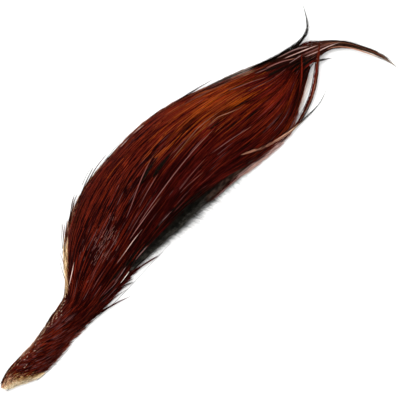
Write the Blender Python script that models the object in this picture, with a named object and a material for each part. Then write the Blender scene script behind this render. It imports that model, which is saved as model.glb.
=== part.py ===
"""Rooster cape: the dried neck skin of a brown rooster with the hackle feathers that grow from it.

The cape lies with its skin down. X runs along the cape from the head end to the feather tips,
Y across it and Z up. The origin is on the underside of the skin, at mid-length.

Plan sizes are in millimetres. Their x is 0 at mid-length, and their y is measured from a straight
line along the edge where the neck skin was cut in two. MIDLINE_Y moves that y to the part's own.
"""

import bmesh
import bpy
import numpy as np
from mathutils import Vector

MM = 0.001

# Overall sizes
MIDLINE_Y = 16.0
SKIN_THICKNESS = 1.2
SKIN_EDGE_ROUND = 0.3
FITTING_GAP = 0.3
SEED = 11

# Feather mass: where it starts and ends, how far it stays inside the outer flow lines, and how fine
MASS_START_X = -147.0
MASS_END_X = 121.0
MASS_INSET = 0.8
EDGE_THICKNESS = 0.8
TAIL_START_X = 110.0
TAIL_CLOSING = 0.3
STATIONS = 58
LANES = 38

# Flow lines of the feathers, from the cut edge up to the outer edge
FLOW_LINES = (
    ((-149, 2.5), (-140, -2), (-128, -7), (-110, -6), (-80, -4.5), (-50, -2), (-20, -3),
     (10, -3.5), (40, -5), (66, -7), (84, -4.5), (100, 4), (112, 12), (122, 15)),
    ((-149, 2.8), (-128, -3.5), (-110, -3), (-80, -2.3), (-50, 0.5), (-20, 3), (10, 6),
     (40, 8), (70, 6), (90, 8), (108, 14), (122, 16.5)),
    ((-149, 3.1), (-128, -0.5), (-105, 0), (-80, 1), (-50, 6), (-20, 12), (10, 17),
     (40, 19.5), (70, 18), (95, 16.5), (110, 17.5), (122, 18)),
    ((-149, 3.4), (-128, 2.5), (-105, 3.5), (-80, 5.5), (-50, 14), (-20, 23), (10, 29),
     (40, 31), (70, 28), (95, 22), (112, 20), (122, 20)),
    ((-149, 3.7), (-128, 5.5), (-105, 6.5), (-80, 10), (-55, 24), (-30, 35), (0, 42),
     (30, 43), (60, 38.5), (85, 31), (108, 25), (122, 22)),
    ((-149, 4.0), (-128, 7.8), (-105, 10), (-82, 15), (-60, 33), (-40, 44), (-10, 50.5),
     (20, 51), (50, 46), (80, 37), (105, 28.5), (122, 24.5)),
    ((-149, 4.3), (-135, 8.6), (-120, 9.6), (-100, 13), (-85, 18), (-74, 29), (-58, 43),
     (-40, 53), (-15, 57.5), (10, 57.8), (35, 54.5), (60, 48.5), (85, 38.5), (105, 31),
     (122, 27.5)),
)

# Height of the crown of the feather mass above the table
CROWN = ((-149, 1.8), (-143, 3.2), (-130, 4.4), (-110, 5.4), (-90, 7.0), (-70, 9.8),
         (-45, 13.0), (-15, 15.2), (20, 15.2), (50, 12.8), (75, 9.6), (95, 6.8), (110, 4.6),
         (122, 3.0))
CROWN_POWER = 2.3
CROWN_ROUNDNESS = 0.7

# Outline of the skin: the outer edge from the head to the back end, then the cut edge back
SKIN_OUTLINE = (
    (-149.5, 3.2), (-148.8, 4.6), (-146.5, 5.6), (-140, 6.0), (-120, 7.0), (-104, 8.8),
    (-92, 11.0), (-82, 15.0), (-70, 20.0), (-55, 26.0), (-38, 31.5), (-18, 36.0), (4, 39.0),
    (22, 39.5), (33, 36.0), (37.5, 28.0), (38.0, 17.0), (35.0, 6.5), (29.0, 0.5),
    (18, -1.2), (-5, -1.0), (-30, -0.4), (-55, -0.2), (-80, -2.2), (-105, -3.4),
    (-124, -4.4), (-134, -2.6), (-143, 1.2), (-147.5, 1.9),
)

# Rows of locks: root x, length, count, width, and how far a lock crosses the lanes on its way
LOCK_ROWS = (
    (-147.0, 26.0, 3, 4.6, -0.30),
    (-134.0, 30.0, 3, 5.2, -0.30),
    (-120.0, 36.0, 4, 5.2, -0.22),
    (-104.0, 48.0, 5, 6.0, -0.08),
    (-86.0, 72.0, 6, 8.0, 0.0),
    (-64.0, 94.0, 7, 9.5, 0.0),
    (-38.0, 112.0, 8, 9.5, 0.0),
    (-8.0, 114.0, 9, 9.0, 0.0),
    (26.0, 92.0, 8, 8.0, 0.0),
)
LOCK_RIDGE = 1.3
LOCK_LIFT = 1.3
TIP_SHARE = 0.06

# Single hackles that leave the mass: width, thickness, and the line of x, y and z that each follows
SINGLE_HACKLES = {
    "curled tip": (3.2, 1.3, ((98, 32, 3.0), (110, 29.6, 2.6), (118, 28.8, 2.0),
                              (124, 30, 2.0), (129, 34.5, 2.6), (133, 41, 3.4))),
    "outer sweeping tip": (3.6, 1.5, ((106, 27, 3.4), (118, 25.0, 3.2), (128, 20.4, 2.6),
                                      (136, 12.2, 2.1), (142, 3.6, 1.6), (146, -7, 1.2),
                                      (148.4, -20, 0.8))),
    "middle sweeping tip": (3.4, 1.5, ((106, 21, 2.8), (118, 19.5, 2.4), (128, 15.6, 1.9),
                                       (136, 7.6, 1.5), (142, -1.8, 1.1), (147.4, -14.8, 0.7))),
    "short spike": (2.2, 1.1, ((104, 17, 2.6), (113, 15.6, 2.0), (119, 12.6, 1.5),
                               (124, 9, 1.0))),
    "crossing hackle": (2.8, 1.2, ((84, -3.0, 1.6), (92, -1.8, 1.8), (102, 2.4, 2.0),
                                   (110, 7.4, 2.2), (116.5, 13, 2.4), (120, 19, 2.4))),
    "pale turned hackle": (3.0, 1.3, ((52, 1.6, 2.6), (60, -2.6, 2.2), (68, -5.8, 1.6),
                                      (78, -6.9, 1.2), (86, -5.6, 1.0))),
    "low stray tip": (2.0, 1.0, ((80, -3.2, 1.8), (88, -5.2, 1.2), (96, -6.0, 0.9),
                                 (105, -4.8, 0.7))),
    "low neck stray": (2.0, 1.0, ((-84, -2.4, 2.0), (-76, -4.8, 1.4), (-67, -7.4, 0.9),
                                  (-58, -9.8, 0.6))),
    "flare stray": (2.2, 1.1, ((-86, 15, 2.0), (-80, 23.5, 1.6), (-74, 31.5, 1.3),
                               (-67.5, 38.6, 1.0))),
    "shoulder stray": (2.2, 1.1, ((-66, 32, 2.0), (-62, 41, 1.6), (-56, 48.5, 1.2),
                                  (-48, 53, 1.0))),
    "upper edge stray": (2.2, 1.1, ((30, 52, 2.0), (42, 52.5, 1.6), (54, 50.8, 1.3),
                                    (66, 48.2, 1.0))),
}
HACKLE_TIP_WIDTH = 0.7

# Down along the cut edge: root x of each tuft, its length, width and drop in y
DOWN_ROOTS = (-42, -29, -16, -3, 10)
DOWN_LENGTH = 18.0
DOWN_WIDTH = 5.5
DOWN_DROP = 6.0

# Colour of each piece
SKIN_COLOUR = (0.60, 0.45, 0.30, 1.0)
HACKLE_COLOUR = (0.11, 0.017, 0.009, 1.0)


def clear_scene():
    """Remove every object of the open scene."""
    for thing in list(bpy.data.objects):
        bpy.data.objects.remove(thing, do_unlink=True)


def smooth_line(points, steps=10):
    """Return a dense Catmull-Rom line through the points, as an array with one row per place."""
    control = np.array(points, dtype=float)
    first = 2 * control[0] - control[1]
    last = 2 * control[-1] - control[-2]
    control = np.vstack([first, control, last])
    line = []
    for p0, p1, p2, p3 in zip(control, control[1:], control[2:], control[3:]):
        for t in np.linspace(0.0, 1.0, steps, endpoint=False):
            line.append(0.5 * (2 * p1 + (p2 - p0) * t
                               + (2 * p0 - 5 * p1 + 4 * p2 - p3) * t ** 2
                               + (3 * p1 - p0 - 3 * p2 + p3) * t ** 3))
    line.append(control[-2])
    return np.array(line)


FLOW = [smooth_line(line) for line in FLOW_LINES]
FLOW_LANES = np.linspace(0.0, 1.0, len(FLOW))
CROWN_LINE = smooth_line(CROWN)


def lane_y(lane, x):
    """Return the y of a lane at x. Lane 0 is the cut edge and lane 1 the outer edge."""
    heights = [np.interp(x, line[:, 0], line[:, 1]) for line in FLOW]
    return float(np.interp(lane, FLOW_LANES, heights))


def mass_edges(x):
    """Return the low and the high y of the feather mass at x."""
    closing = TAIL_CLOSING * max(x - TAIL_START_X, 0.0)
    return lane_y(0.0, x) + MASS_INSET + closing, lane_y(1.0, x) - MASS_INSET - closing


def crown_z(x, y):
    """Return the height of the smooth feather mass over a place of the plan."""
    low, high = mass_edges(x)
    across = min(abs(2 * (y - low) / max(high - low, 0.1) - 1), 1.0)
    crown = np.interp(x, CROWN_LINE[:, 0], CROWN_LINE[:, 1])
    bulge = (1 - across ** CROWN_POWER) ** CROWN_ROUNDNESS
    return float(EDGE_THICKNESS + (crown - EDGE_THICKNESS) * bulge)


def place(x, y, z):
    """Turn plan sizes in millimetres into a point of the part, in metres."""
    return Vector((x, y - MIDLINE_Y, z)) * MM


class Lock:
    """A lock of feathers in a row: it lies along its lane, on top of the rows behind it."""

    def __init__(self, root_x, length, lane, width, drift):
        self.root_x = root_x
        self.length = length
        self.lane = lane
        self.width = width
        self.drift = drift

    def middle_y(self, x):
        """Return the y of the lock's middle at x."""
        share = (x - self.root_x) / self.length
        return lane_y(min(max(self.lane + self.drift * share, 0.0), 1.0), x)

    def rise(self, x, y, middle_y):
        """Return how far the lock stands above the smooth mass at a place, or 0 beside it."""
        share = (x - self.root_x) / self.length
        if not 0.0 <= share <= 1.0:
            return 0.0
        opening = min(0.6 + 1.6 * share, 1.0)
        closing = min((1.0 - share + TIP_SHARE) / 0.5, 1.0) ** 0.8
        offset = abs(y - middle_y) / (self.width / 2 * opening * closing)
        if offset >= 1.0:
            return 0.0
        return (LOCK_LIFT * share + LOCK_RIDGE * closing ** 0.5) * (1 - offset ** 2) ** 0.6


def lay_locks():
    """Return the locks of every row, laid in alternate places from row to row."""
    draw = np.random.default_rng(SEED)
    locks = []
    for row, (root_x, length, count, width, drift) in enumerate(LOCK_ROWS):
        for i in range(count):
            lane = (i + 0.5 + 0.25 * (-1) ** row) / count - 0.5 * drift
            lane = min(max(lane + draw.uniform(-0.02, 0.02), 0.02), 0.98)
            start = root_x + draw.uniform(-4.0, 4.0)
            locks.append(Lock(start, length * draw.uniform(0.88, 1.04), lane, width, drift))
    return locks


def new_object(name, bm, colour=None, roughness=0.5, metallic=0.0):
    """Make an object from a bmesh, with its own material if a colour is given."""
    bmesh.ops.recalc_face_normals(bm, faces=bm.faces)
    mesh = bpy.data.meshes.new(name)
    bm.to_mesh(mesh)
    bm.free()
    thing = bpy.data.objects.new(name, mesh)
    bpy.context.collection.objects.link(thing)
    if colour is not None:
        material = bpy.data.materials.new(name)
        material.use_nodes = True
        shader = material.node_tree.nodes["Principled BSDF"]
        shader.inputs["Base Color"].default_value = colour
        shader.inputs["Roughness"].default_value = roughness
        shader.inputs["Metallic"].default_value = metallic
        mesh.materials.append(material)
    return thing


def hide_guide(thing):
    """Mark an object as a cutter or a guide that isn't part of the cape."""
    thing.hide_render = True
    thing.display_type = "WIRE"


def bridge(bm, rings):
    """Join rings of vertices, one after the other, into a closed tube with capped ends."""
    for ring, following in zip(rings, rings[1:]):
        for i in range(len(ring)):
            j = (i + 1) % len(ring)
            bm.faces.new((ring[i], ring[j], following[j], following[i]))
    bm.faces.new(rings[0])
    bm.faces.new(rings[-1])


def feather_mass():
    """Make the crowned mass of feathers with the relief of its locks, flat where it lies."""
    locks = lay_locks()
    bm = bmesh.new()
    rings = []
    for x in np.linspace(MASS_START_X, MASS_END_X, STATIONS):
        low, high = mass_edges(x)
        middles = [(lock, lock.middle_y(x)) for lock in locks]
        ring = [bm.verts.new(place(x, low, 0)), bm.verts.new(place(x, high, 0))]
        for y in np.linspace(high, low, LANES):
            rise = max(lock.rise(x, y, middle) for lock, middle in middles)
            ring.append(bm.verts.new(place(x, y, crown_z(x, y) + rise)))
        rings.append(ring)
    bridge(bm, rings)
    return new_object("hackle_coat", bm, HACKLE_COLOUR, roughness=0.42)


def tapered_lock(name, path, widths, thicknesses):
    """Make one closed lock with a four-sided section along a line of x, y and z."""
    bm = bmesh.new()
    along = np.gradient(path[:, :2], axis=0)
    along /= np.linalg.norm(along, axis=1)[:, None]
    rings = []
    for (x, y, z), (ax, ay), width, thickness in zip(path, along, widths, thicknesses):
        side_x, side_y = -ay * width / 2, ax * width / 2
        rings.append([
            bm.verts.new(place(x + side_x, y + side_y, z)),
            bm.verts.new(place(x, y, z - thickness / 2)),
            bm.verts.new(place(x - side_x, y - side_y, z)),
            bm.verts.new(place(x, y, z + thickness / 2)),
        ])
    bridge(bm, rings)
    return new_object(name, bm)


def single_hackle(name, width, thickness, points):
    """Make one hackle that leaves the mass along its own line."""
    path = smooth_line(points, steps=2)
    shares = np.linspace(0.0, 1.0, len(path))
    widths = np.maximum(width * np.minimum((1 - shares) / 0.6, 1.0) ** 0.7, HACKLE_TIP_WIDTH)
    return tapered_lock(name, path, widths, thickness * (1 - 0.45 * shares))


def down_tuft(name, root_x):
    """Make one tuft of down that slants out under the cut edge."""
    shares = np.linspace(0.0, 1.0, 5)
    path = np.column_stack([
        root_x + DOWN_LENGTH * shares,
        lane_y(0.0, root_x) + 4.0 - DOWN_DROP * shares,
        1.6 - 0.9 * shares,
    ])
    widths = np.maximum(DOWN_WIDTH * (1 - shares) ** 0.6, HACKLE_TIP_WIDTH)
    return tapered_lock(name, path, widths, 1.8 - 1.1 * shares)


def loose_hackles():
    """Make the single hackles and the tufts of down, as guides in one collection."""
    pieces = [single_hackle(name, *sizes) for name, sizes in SINGLE_HACKLES.items()]
    pieces += [down_tuft(f"down tuft {root_x}", root_x) for root_x in DOWN_ROOTS]
    group = bpy.data.collections.new("loose hackles")
    bpy.context.scene.collection.children.link(group)
    for piece in pieces:
        bpy.context.collection.objects.unlink(piece)
        group.objects.link(piece)
        hide_guide(piece)
    return group


def skin_slab(grow, low, high):
    """Make a flat slab of the skin's outline, grown outwards, between two heights."""
    line = smooth_line(SKIN_OUTLINE + (SKIN_OUTLINE[0],), steps=2)[:-1, :2]
    ahead = np.roll(line, -1, axis=0) - np.roll(line, 1, axis=0)
    ahead /= np.linalg.norm(ahead, axis=1)[:, None]
    outward = np.column_stack([-ahead[:, 1], ahead[:, 0]])
    line = line + outward * grow
    bm = bmesh.new()
    bottom = bm.faces.new([bm.verts.new(place(x, y, low)) for x, y in line])
    raised = bmesh.ops.extrude_face_region(bm, geom=[bottom])
    top = [part for part in raised["geom"] if isinstance(part, bmesh.types.BMVert)]
    bmesh.ops.translate(bm, verts=top, vec=Vector((0, 0, (high - low) * MM)))
    return bm


def skin():
    """Make the dried skin, a thin slab with rounded edges."""
    thing = new_object("skin", skin_slab(0.0, 0.0, SKIN_THICKNESS), SKIN_COLOUR, roughness=0.6)
    bevel = thing.modifiers.new("edge round", "BEVEL")
    bevel.width = SKIN_EDGE_ROUND * MM
    bevel.segments = 1
    bevel.limit_method = "ANGLE"
    return thing


def hackle_coat():
    """Make the feathers: the mass with its loose hackles fused on, and a bed for the skin below."""
    coat = feather_mass()
    fuse = coat.modifiers.new("fuse the loose hackles", "BOOLEAN")
    fuse.operation = "UNION"
    fuse.operand_type = "COLLECTION"
    fuse.collection = loose_hackles()
    bed = new_object("skin bed", skin_slab(FITTING_GAP, -2.0, SKIN_THICKNESS + FITTING_GAP))
    hide_guide(bed)
    cut = coat.modifiers.new("bed for the skin", "BOOLEAN")
    cut.operation = "DIFFERENCE"
    cut.object = bed
    return coat


def main():
    """Build the cape."""
    clear_scene()
    skin()
    hackle_coat()


main()
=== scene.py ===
"""The looks of a rooster cape: a dried neck skin with its hackle feathers, down and quills.

Plan sizes are in millimetres. Their x runs from the head end to the feather tips, 0 at mid-length,
and their y is measured from the line along the cut edge. Objects are made in metres, as the frame is.
"""
import logging
import math
from collections.abc import Sequence
from dataclasses import dataclass
from enum import Enum

import bmesh
import bpy
import numpy as np
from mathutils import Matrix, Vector


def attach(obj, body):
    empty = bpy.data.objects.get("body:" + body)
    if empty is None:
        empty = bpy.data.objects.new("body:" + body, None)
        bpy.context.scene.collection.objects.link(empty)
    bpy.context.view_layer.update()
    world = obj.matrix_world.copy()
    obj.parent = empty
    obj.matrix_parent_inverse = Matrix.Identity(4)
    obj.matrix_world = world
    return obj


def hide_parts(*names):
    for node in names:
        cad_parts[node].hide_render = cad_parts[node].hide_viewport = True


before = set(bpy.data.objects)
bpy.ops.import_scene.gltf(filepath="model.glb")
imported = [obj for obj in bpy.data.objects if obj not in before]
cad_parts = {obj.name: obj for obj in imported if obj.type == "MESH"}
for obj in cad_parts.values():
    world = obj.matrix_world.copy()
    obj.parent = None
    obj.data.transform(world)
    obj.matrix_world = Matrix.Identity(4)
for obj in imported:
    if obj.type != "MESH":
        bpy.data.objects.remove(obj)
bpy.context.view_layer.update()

MM = 0.001
MIDLINE_Y = 16.0
BODY = "root"
COAT_NODE = "hackle_coat"
SKIN_NODE = "skin"
PATH_STEPS = 18
LEAST_HEIGHT = 0.05
UPWARDS = (0.0, 0.0, 1.0)
UV_NAME = "OFBake"

LOG = logging.getLogger("rooster_cape")

# Flow lines of the feathers, from the cut edge up to the outer edge
FLOW_LINES = (
    ((-149, 0.8), (-144, -0.8), (-139, -2.8), (-134, -4.6), (-128, -5.1), (-120, -4.9), (-110, -3.9),
     (-100, -3.0), (-85, -2.6), (-72, -2.3), (-62, -1.4), (-50, -0.4), (-35, -0.6), (-20, -1.6),
     (10, -2.2), (30, -2.4), (40, -3.3), (50, -4.3), (60, -5.2), (70, -5.3), (78, -4.4), (84, -2.0),
     (88, 0), (92, 2.2), (96, 4.6), (100, 7), (106, 10.6), (112, 13), (122, 15)),
    ((-149, 1.5), (-139, -1.0), (-128, -2.6), (-110, -1.9), (-80, -0.8), (-50, 1.6), (-20, 3.4), (10, 6),
     (40, 7.6), (66, 6.0), (84, 7.6), (98, 13.0), (108, 17), (122, 18)),
    ((-149, 2.4), (-128, -0.1), (-105, 0.8), (-80, 1.8), (-50, 6.2), (-20, 12), (10, 17), (40, 19.5),
     (66, 17.4), (86, 15.8), (99, 17.4), (110, 20), (122, 19.5)),
    ((-149, 3.3), (-128, 2.5), (-105, 3.9), (-80, 6.6), (-65, 10.8), (-50, 14.6), (-35, 18.3), (-20, 22.4),
     (-5, 26), (10, 29), (40, 31), (70, 28), (92, 22.6), (110, 22), (122, 21)),
    ((-149, 4.2), (-140, 5.2), (-128, 5.5), (-105, 6.8), (-92, 9.0), (-80, 13.0), (-70, 18.6), (-60, 23),
     (-50, 26.6), (-40, 30), (-30, 33.5), (-15, 38.4), (0, 42), (30, 43), (60, 38.5), (85, 31), (108, 25),
     (122, 22)),
    ((-149, 5.0), (-140, 6.9), (-128, 7.6), (-105, 10), (-92, 12), (-82, 16.4), (-72, 25.6), (-62, 32.8),
     (-52, 38), (-40, 42.7), (-26, 47), (-10, 50.5), (20, 51.2), (50, 46.2), (80, 36.8), (105, 28.5),
     (122, 24.5)),
    ((-149, 5.8), (-146, 7.0), (-140, 8.3), (-134, 8.5), (-120, 8.9), (-110, 10.7), (-102, 12.9),
     (-93, 14.4), (-85, 17.7), (-74, 29.4), (-66, 37.0), (-58, 43.4), (-47, 49.4), (-40, 52.1),
     (-29, 55.2), (-22, 56.2), (-12, 56.9), (2, 57.9), (16, 57.7), (30, 55.9), (44, 52.5), (54, 49.2),
     (61, 46.5), (68, 44.0), (80, 39.8), (92, 34.8), (105, 30.5), (122, 27.2)),
)
CROWN = ((-149, 1.8), (-143, 3.2), (-130, 4.4), (-110, 5.4), (-90, 7.0), (-70, 9.8),
         (-45, 13.0), (-15, 15.2), (20, 15.2), (50, 12.8), (75, 9.6), (95, 6.8), (110, 4.6),
         (122, 3.0))


class Tone(Enum):
    """Colourings of a feather: root, middle and tip colour, and how dark its centre stripe is."""

    BLACK = ((0.004, 0.003, 0.002), (0.005, 0.004, 0.003), (0.006, 0.004, 0.003), 0.2)
    SOOT = ((0.006, 0.003, 0.002), (0.014, 0.003, 0.002), (0.018, 0.003, 0.002), 0.3)
    # Painted grey sheen: the light that glossy black hackles catch
    SMOKE = ((0.100, 0.074, 0.062), (0.210, 0.168, 0.145), (0.140, 0.110, 0.094), 0.1)
    DARK = ((0.018, 0.002, 0.001), (0.044, 0.003, 0.002), (0.048, 0.003, 0.002), 0.35)
    WINE = ((0.024, 0.003, 0.002), (0.078, 0.006, 0.005), (0.080, 0.006, 0.005), 0.4)
    MAHOGANY = ((0.030, 0.003, 0.002), (0.108, 0.008, 0.005), (0.110, 0.008, 0.004), 0.4)
    RED_BROWN = ((0.040, 0.004, 0.002), (0.145, 0.011, 0.005), (0.150, 0.011, 0.004), 0.4)
    CHESTNUT = ((0.046, 0.006, 0.002), (0.185, 0.018, 0.005), (0.185, 0.017, 0.004), 0.4)
    RUST = ((0.055, 0.007, 0.002), (0.240, 0.031, 0.005), (0.235, 0.028, 0.004), 0.35)
    GINGER = ((0.070, 0.009, 0.002), (0.300, 0.050, 0.005), (0.295, 0.045, 0.004), 0.3)
    GOLD = ((0.090, 0.018, 0.003), (0.280, 0.074, 0.012), (0.270, 0.060, 0.008), 0.3)
    UMBER = ((0.060, 0.010, 0.005), (0.160, 0.026, 0.011), (0.160, 0.026, 0.011), 0.4)
    BRONZE = ((0.020, 0.006, 0.004), (0.100, 0.030, 0.018), (0.190, 0.105, 0.055), 0.3)
    ARC_DARK = ((0.024, 0.007, 0.004), (0.110, 0.034, 0.022), (0.060, 0.034, 0.019), 0.4)
    ARC_TAN = ((0.040, 0.012, 0.007), (0.150, 0.062, 0.044), (0.560, 0.390, 0.240), 0.3)
    # Near-black lines: painted shade in the narrow gaps between hackles
    GAP_SHADE = ((0.010, 0.001, 0.001), (0.010, 0.001, 0.001), (0.010, 0.001, 0.001), 0.0)
    EMBER = ((0.098, 0.009, 0.004), (0.120, 0.012, 0.005), (0.104, 0.010, 0.004), 0.0)
    AMBER = ((0.200, 0.034, 0.007), (0.255, 0.045, 0.009), (0.215, 0.036, 0.007), 0.0)
    # Whitish lines: painted glints of light off glossy barbs
    GREY_GLINT = ((0.085, 0.028, 0.026), (0.110, 0.040, 0.038), (0.090, 0.026, 0.024), 0.0)
    # Grey-pink: painted glints off glossy barbs, also the colour of some grey wisps at the lower border
    DUSK_AND_GLINT = ((0.060, 0.026, 0.026), (0.160, 0.080, 0.078), (0.130, 0.050, 0.046), 0.0)
    # Rose: painted glints along glossy strands, also the colour of some rose wisps at the borders
    ROSE_AND_GLINT = ((0.100, 0.034, 0.030), (0.135, 0.043, 0.036), (0.140, 0.038, 0.024), 0.0)
    # Pale pink: painted glints and highlights on barbs and shafts, also the colour of some pale wisps at the
    # lower border
    PALE_AND_GLINT = ((0.170, 0.066, 0.058), (0.140, 0.055, 0.048), (0.190, 0.070, 0.045), 0.0)
    BUFF = ((0.150, 0.052, 0.028), (0.220, 0.085, 0.050), (0.190, 0.060, 0.028), 0.0)
    TAN = ((0.210, 0.092, 0.058), (0.320, 0.165, 0.110), (0.470, 0.310, 0.210), 0.0)
    CREAM = ((0.850, 0.720, 0.500), (0.850, 0.720, 0.490), (0.700, 0.520, 0.310), 0.0)
    FLAX = ((0.600, 0.430, 0.230), (0.640, 0.460, 0.250), (0.460, 0.290, 0.140), 0.0)
    HONEY = ((0.330, 0.180, 0.070), (0.370, 0.205, 0.080), (0.230, 0.095, 0.034), 0.0)
    FLESH = ((0.440, 0.230, 0.130), (0.480, 0.260, 0.150), (0.270, 0.105, 0.055), 0.1)
    HAIR = ((0.170, 0.090, 0.080), (0.250, 0.145, 0.135), (0.300, 0.195, 0.180), 0.0)
    # Pinkish white: painted highlights on glossy shafts and edges, also the pale wisps at the lower border
    BLUSH_AND_HIGHLIGHT = ((0.360, 0.210, 0.180), (0.540, 0.360, 0.320), (0.420, 0.250, 0.210), 0.0)
    IVORY = ((0.900, 0.800, 0.720), (0.940, 0.860, 0.780), (0.860, 0.740, 0.640), 0.0)

    @property
    def row(self) -> int:
        """Row of this tone in the feathers' pattern map."""
        return list(Tone).index(self)

    @property
    def root(self) -> tuple[float, float, float]:
        """Colour at the root."""
        return self.value[0]

    @property
    def middle(self) -> tuple[float, float, float]:
        """Colour over the middle."""
        return self.value[1]

    @property
    def tip(self) -> tuple[float, float, float]:
        """Colour at the tip."""
        return self.value[2]

    @property
    def stripe(self) -> float:
        """How much darker the centre stripe is."""
        return self.value[3]


VARIANTS = 5
# One spare row a tone, because a ramp's steps are a little coarse
ROWS_A_TONE = VARIANTS + 1
ROWS = len(Tone) * ROWS_A_TONE
ROW_HALF = 0.42
MAP_EDGE = 0.01


def smooth_line(points: Sequence[Sequence[float]], steps: int = 8) -> np.ndarray:
    """Lay a Catmull-Rom line through points.

    Args:
        points: Places on the line, each with two or three coordinates.
        steps: Places made for each stretch between two points.

    Returns:
        One row for each place on the line.
    """
    control = np.array(points, dtype=float)
    control = np.vstack([2 * control[0] - control[1], control, 2 * control[-1] - control[-2]])
    share = np.linspace(0.0, 1.0, steps, endpoint=False)[:, None]
    line = [0.5 * (2 * b + (c - a) * share + (2 * a - 5 * b + 4 * c - d) * share ** 2
                   + (3 * b - a - 3 * c + d) * share ** 3)
            for a, b, c, d in zip(control, control[1:], control[2:], control[3:])]
    return np.vstack(line + [control[-2:-1]])


def even_line(line: np.ndarray, count: int, length: float | None = None) -> np.ndarray:
    """Set places at even distances along a line.

    Args:
        line: Places on the line.
        count: How many places to return.
        length: The length to keep from the line's start, or None for all of it.

    Returns:
        The even places, one row each.
    """
    run = np.concatenate([[0.0], np.cumsum(np.linalg.norm(np.diff(line, axis=0), axis=1))])
    reach = run[-1] if length is None else min(length, run[-1])
    places = np.linspace(0.0, reach, count)
    return np.column_stack([np.interp(places, run, column) for column in line.T])


def table_at(x: float | np.ndarray, stops: Sequence[Sequence[float]]) -> float | np.ndarray:
    """Read a value off a table of stops.

    Args:
        x: Where it is read, one place or many.
        stops: The table's rows, each a place and its value.

    Returns:
        The value at each place.
    """
    return np.interp(x, *np.array(stops, dtype=float).T)


def to_frame(points: np.ndarray) -> np.ndarray:
    """Turn plan places in millimetres into places of the frame, in metres."""
    return (points - np.array([0.0, MIDLINE_Y, 0.0])) * MM


@dataclass
class Coat:
    """Form of the feather mass: the lanes that feathers follow and the height of its surface."""

    first_x: float = -149.0
    last_x: float = 122.0
    columns: int = 272
    edge_thickness: float = 0.8
    narrowest: float = 0.5
    hem: tuple = ((-62, 0.0), (-50, 1.6), (-42, 5.2), (-30, 8.0), (-20, 9.2), (-8, 9.8), (6, 9.8), (16, 8.6),
                  (24, 6.8), (34, 4.4), (42, 2.0), (54, 0.0))
    hem_fade: int = 5
    crown_power: float = 2.3
    crown_roundness: float = 0.7
    cover: float = 1.3
    steepest: float = 1.1
    slope_step: float = 0.6

    def __post_init__(self) -> None:
        """Lay out the lanes and the crown along the cape."""
        self.x = np.linspace(self.first_x, self.last_x, self.columns)
        lines = [smooth_line(line) for line in FLOW_LINES]
        self.lanes = np.array([np.interp(self.x, line[:, 0], line[:, 1]) for line in lines])
        crown = smooth_line(CROWN)
        self.crown = np.interp(self.x, crown[:, 0], crown[:, 1])

    def lane_y(self, lane: np.ndarray, x: np.ndarray) -> np.ndarray:
        """Find the y of a lane.

        Args:
            lane: Share of the way from the cut edge, 0, to the outer edge, 1.
            x: Places along the cape.

        Returns:
            The y of the lane at each place.
        """
        place = np.broadcast_to(np.asarray(lane, dtype=float), np.shape(x)) * (len(self.lanes) - 1)
        low = np.clip(np.floor(place).astype(int), 0, len(self.lanes) - 2)
        columns = np.array([np.interp(x, self.x, row) for row in self.lanes])
        index = np.arange(len(x))
        below, above = columns[low, index], columns[low + 1, index]
        return below + (place - low) * (above - below)

    def hem_rise(self, lane: np.ndarray, x: np.ndarray) -> np.ndarray:
        """Find how far the hackles of a lane stand back from the cut edge, to show the down."""
        hem = np.array(self.hem, dtype=float)
        return np.interp(x, hem[:, 0], hem[:, 1]) * np.clip(1 - lane, 0, 1) ** self.hem_fade

    def top(self, x: np.ndarray, y: np.ndarray) -> np.ndarray:
        """Find the height of the coat's surface.

        Args:
            x: Places along the cape.
            y: Places across it.

        Returns:
            The height at each place.
        """
        low = np.interp(x, self.x, self.lanes[0])
        high = np.interp(x, self.x, self.lanes[-1])
        across = np.minimum(np.abs(2 * (y - low) / np.maximum(high - low, self.narrowest) - 1), 1.0)
        crown = np.interp(x, self.x, self.crown) + self.cover
        bulge = (1 - across ** self.crown_power) ** self.crown_roundness
        return self.edge_thickness + (crown - self.edge_thickness) * bulge

    def up(self, x: np.ndarray, y: np.ndarray) -> np.ndarray:
        """Find the direction that the coat's surface faces.

        Args:
            x: Places along the cape.
            y: Places across it.

        Returns:
            A direction of unit length for each place.
        """
        step = self.slope_step
        slope_x = (self.top(x + step, y) - self.top(x - step, y)) / (2 * step)
        slope_y = (self.top(x, y + step) - self.top(x, y - step)) / (2 * step)
        slopes = np.clip(np.column_stack([slope_x, slope_y]), -self.steepest, self.steepest)
        normal = np.column_stack([-slopes, np.ones(len(x))])
        return normal / np.linalg.norm(normal, axis=1)[:, None]


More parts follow.
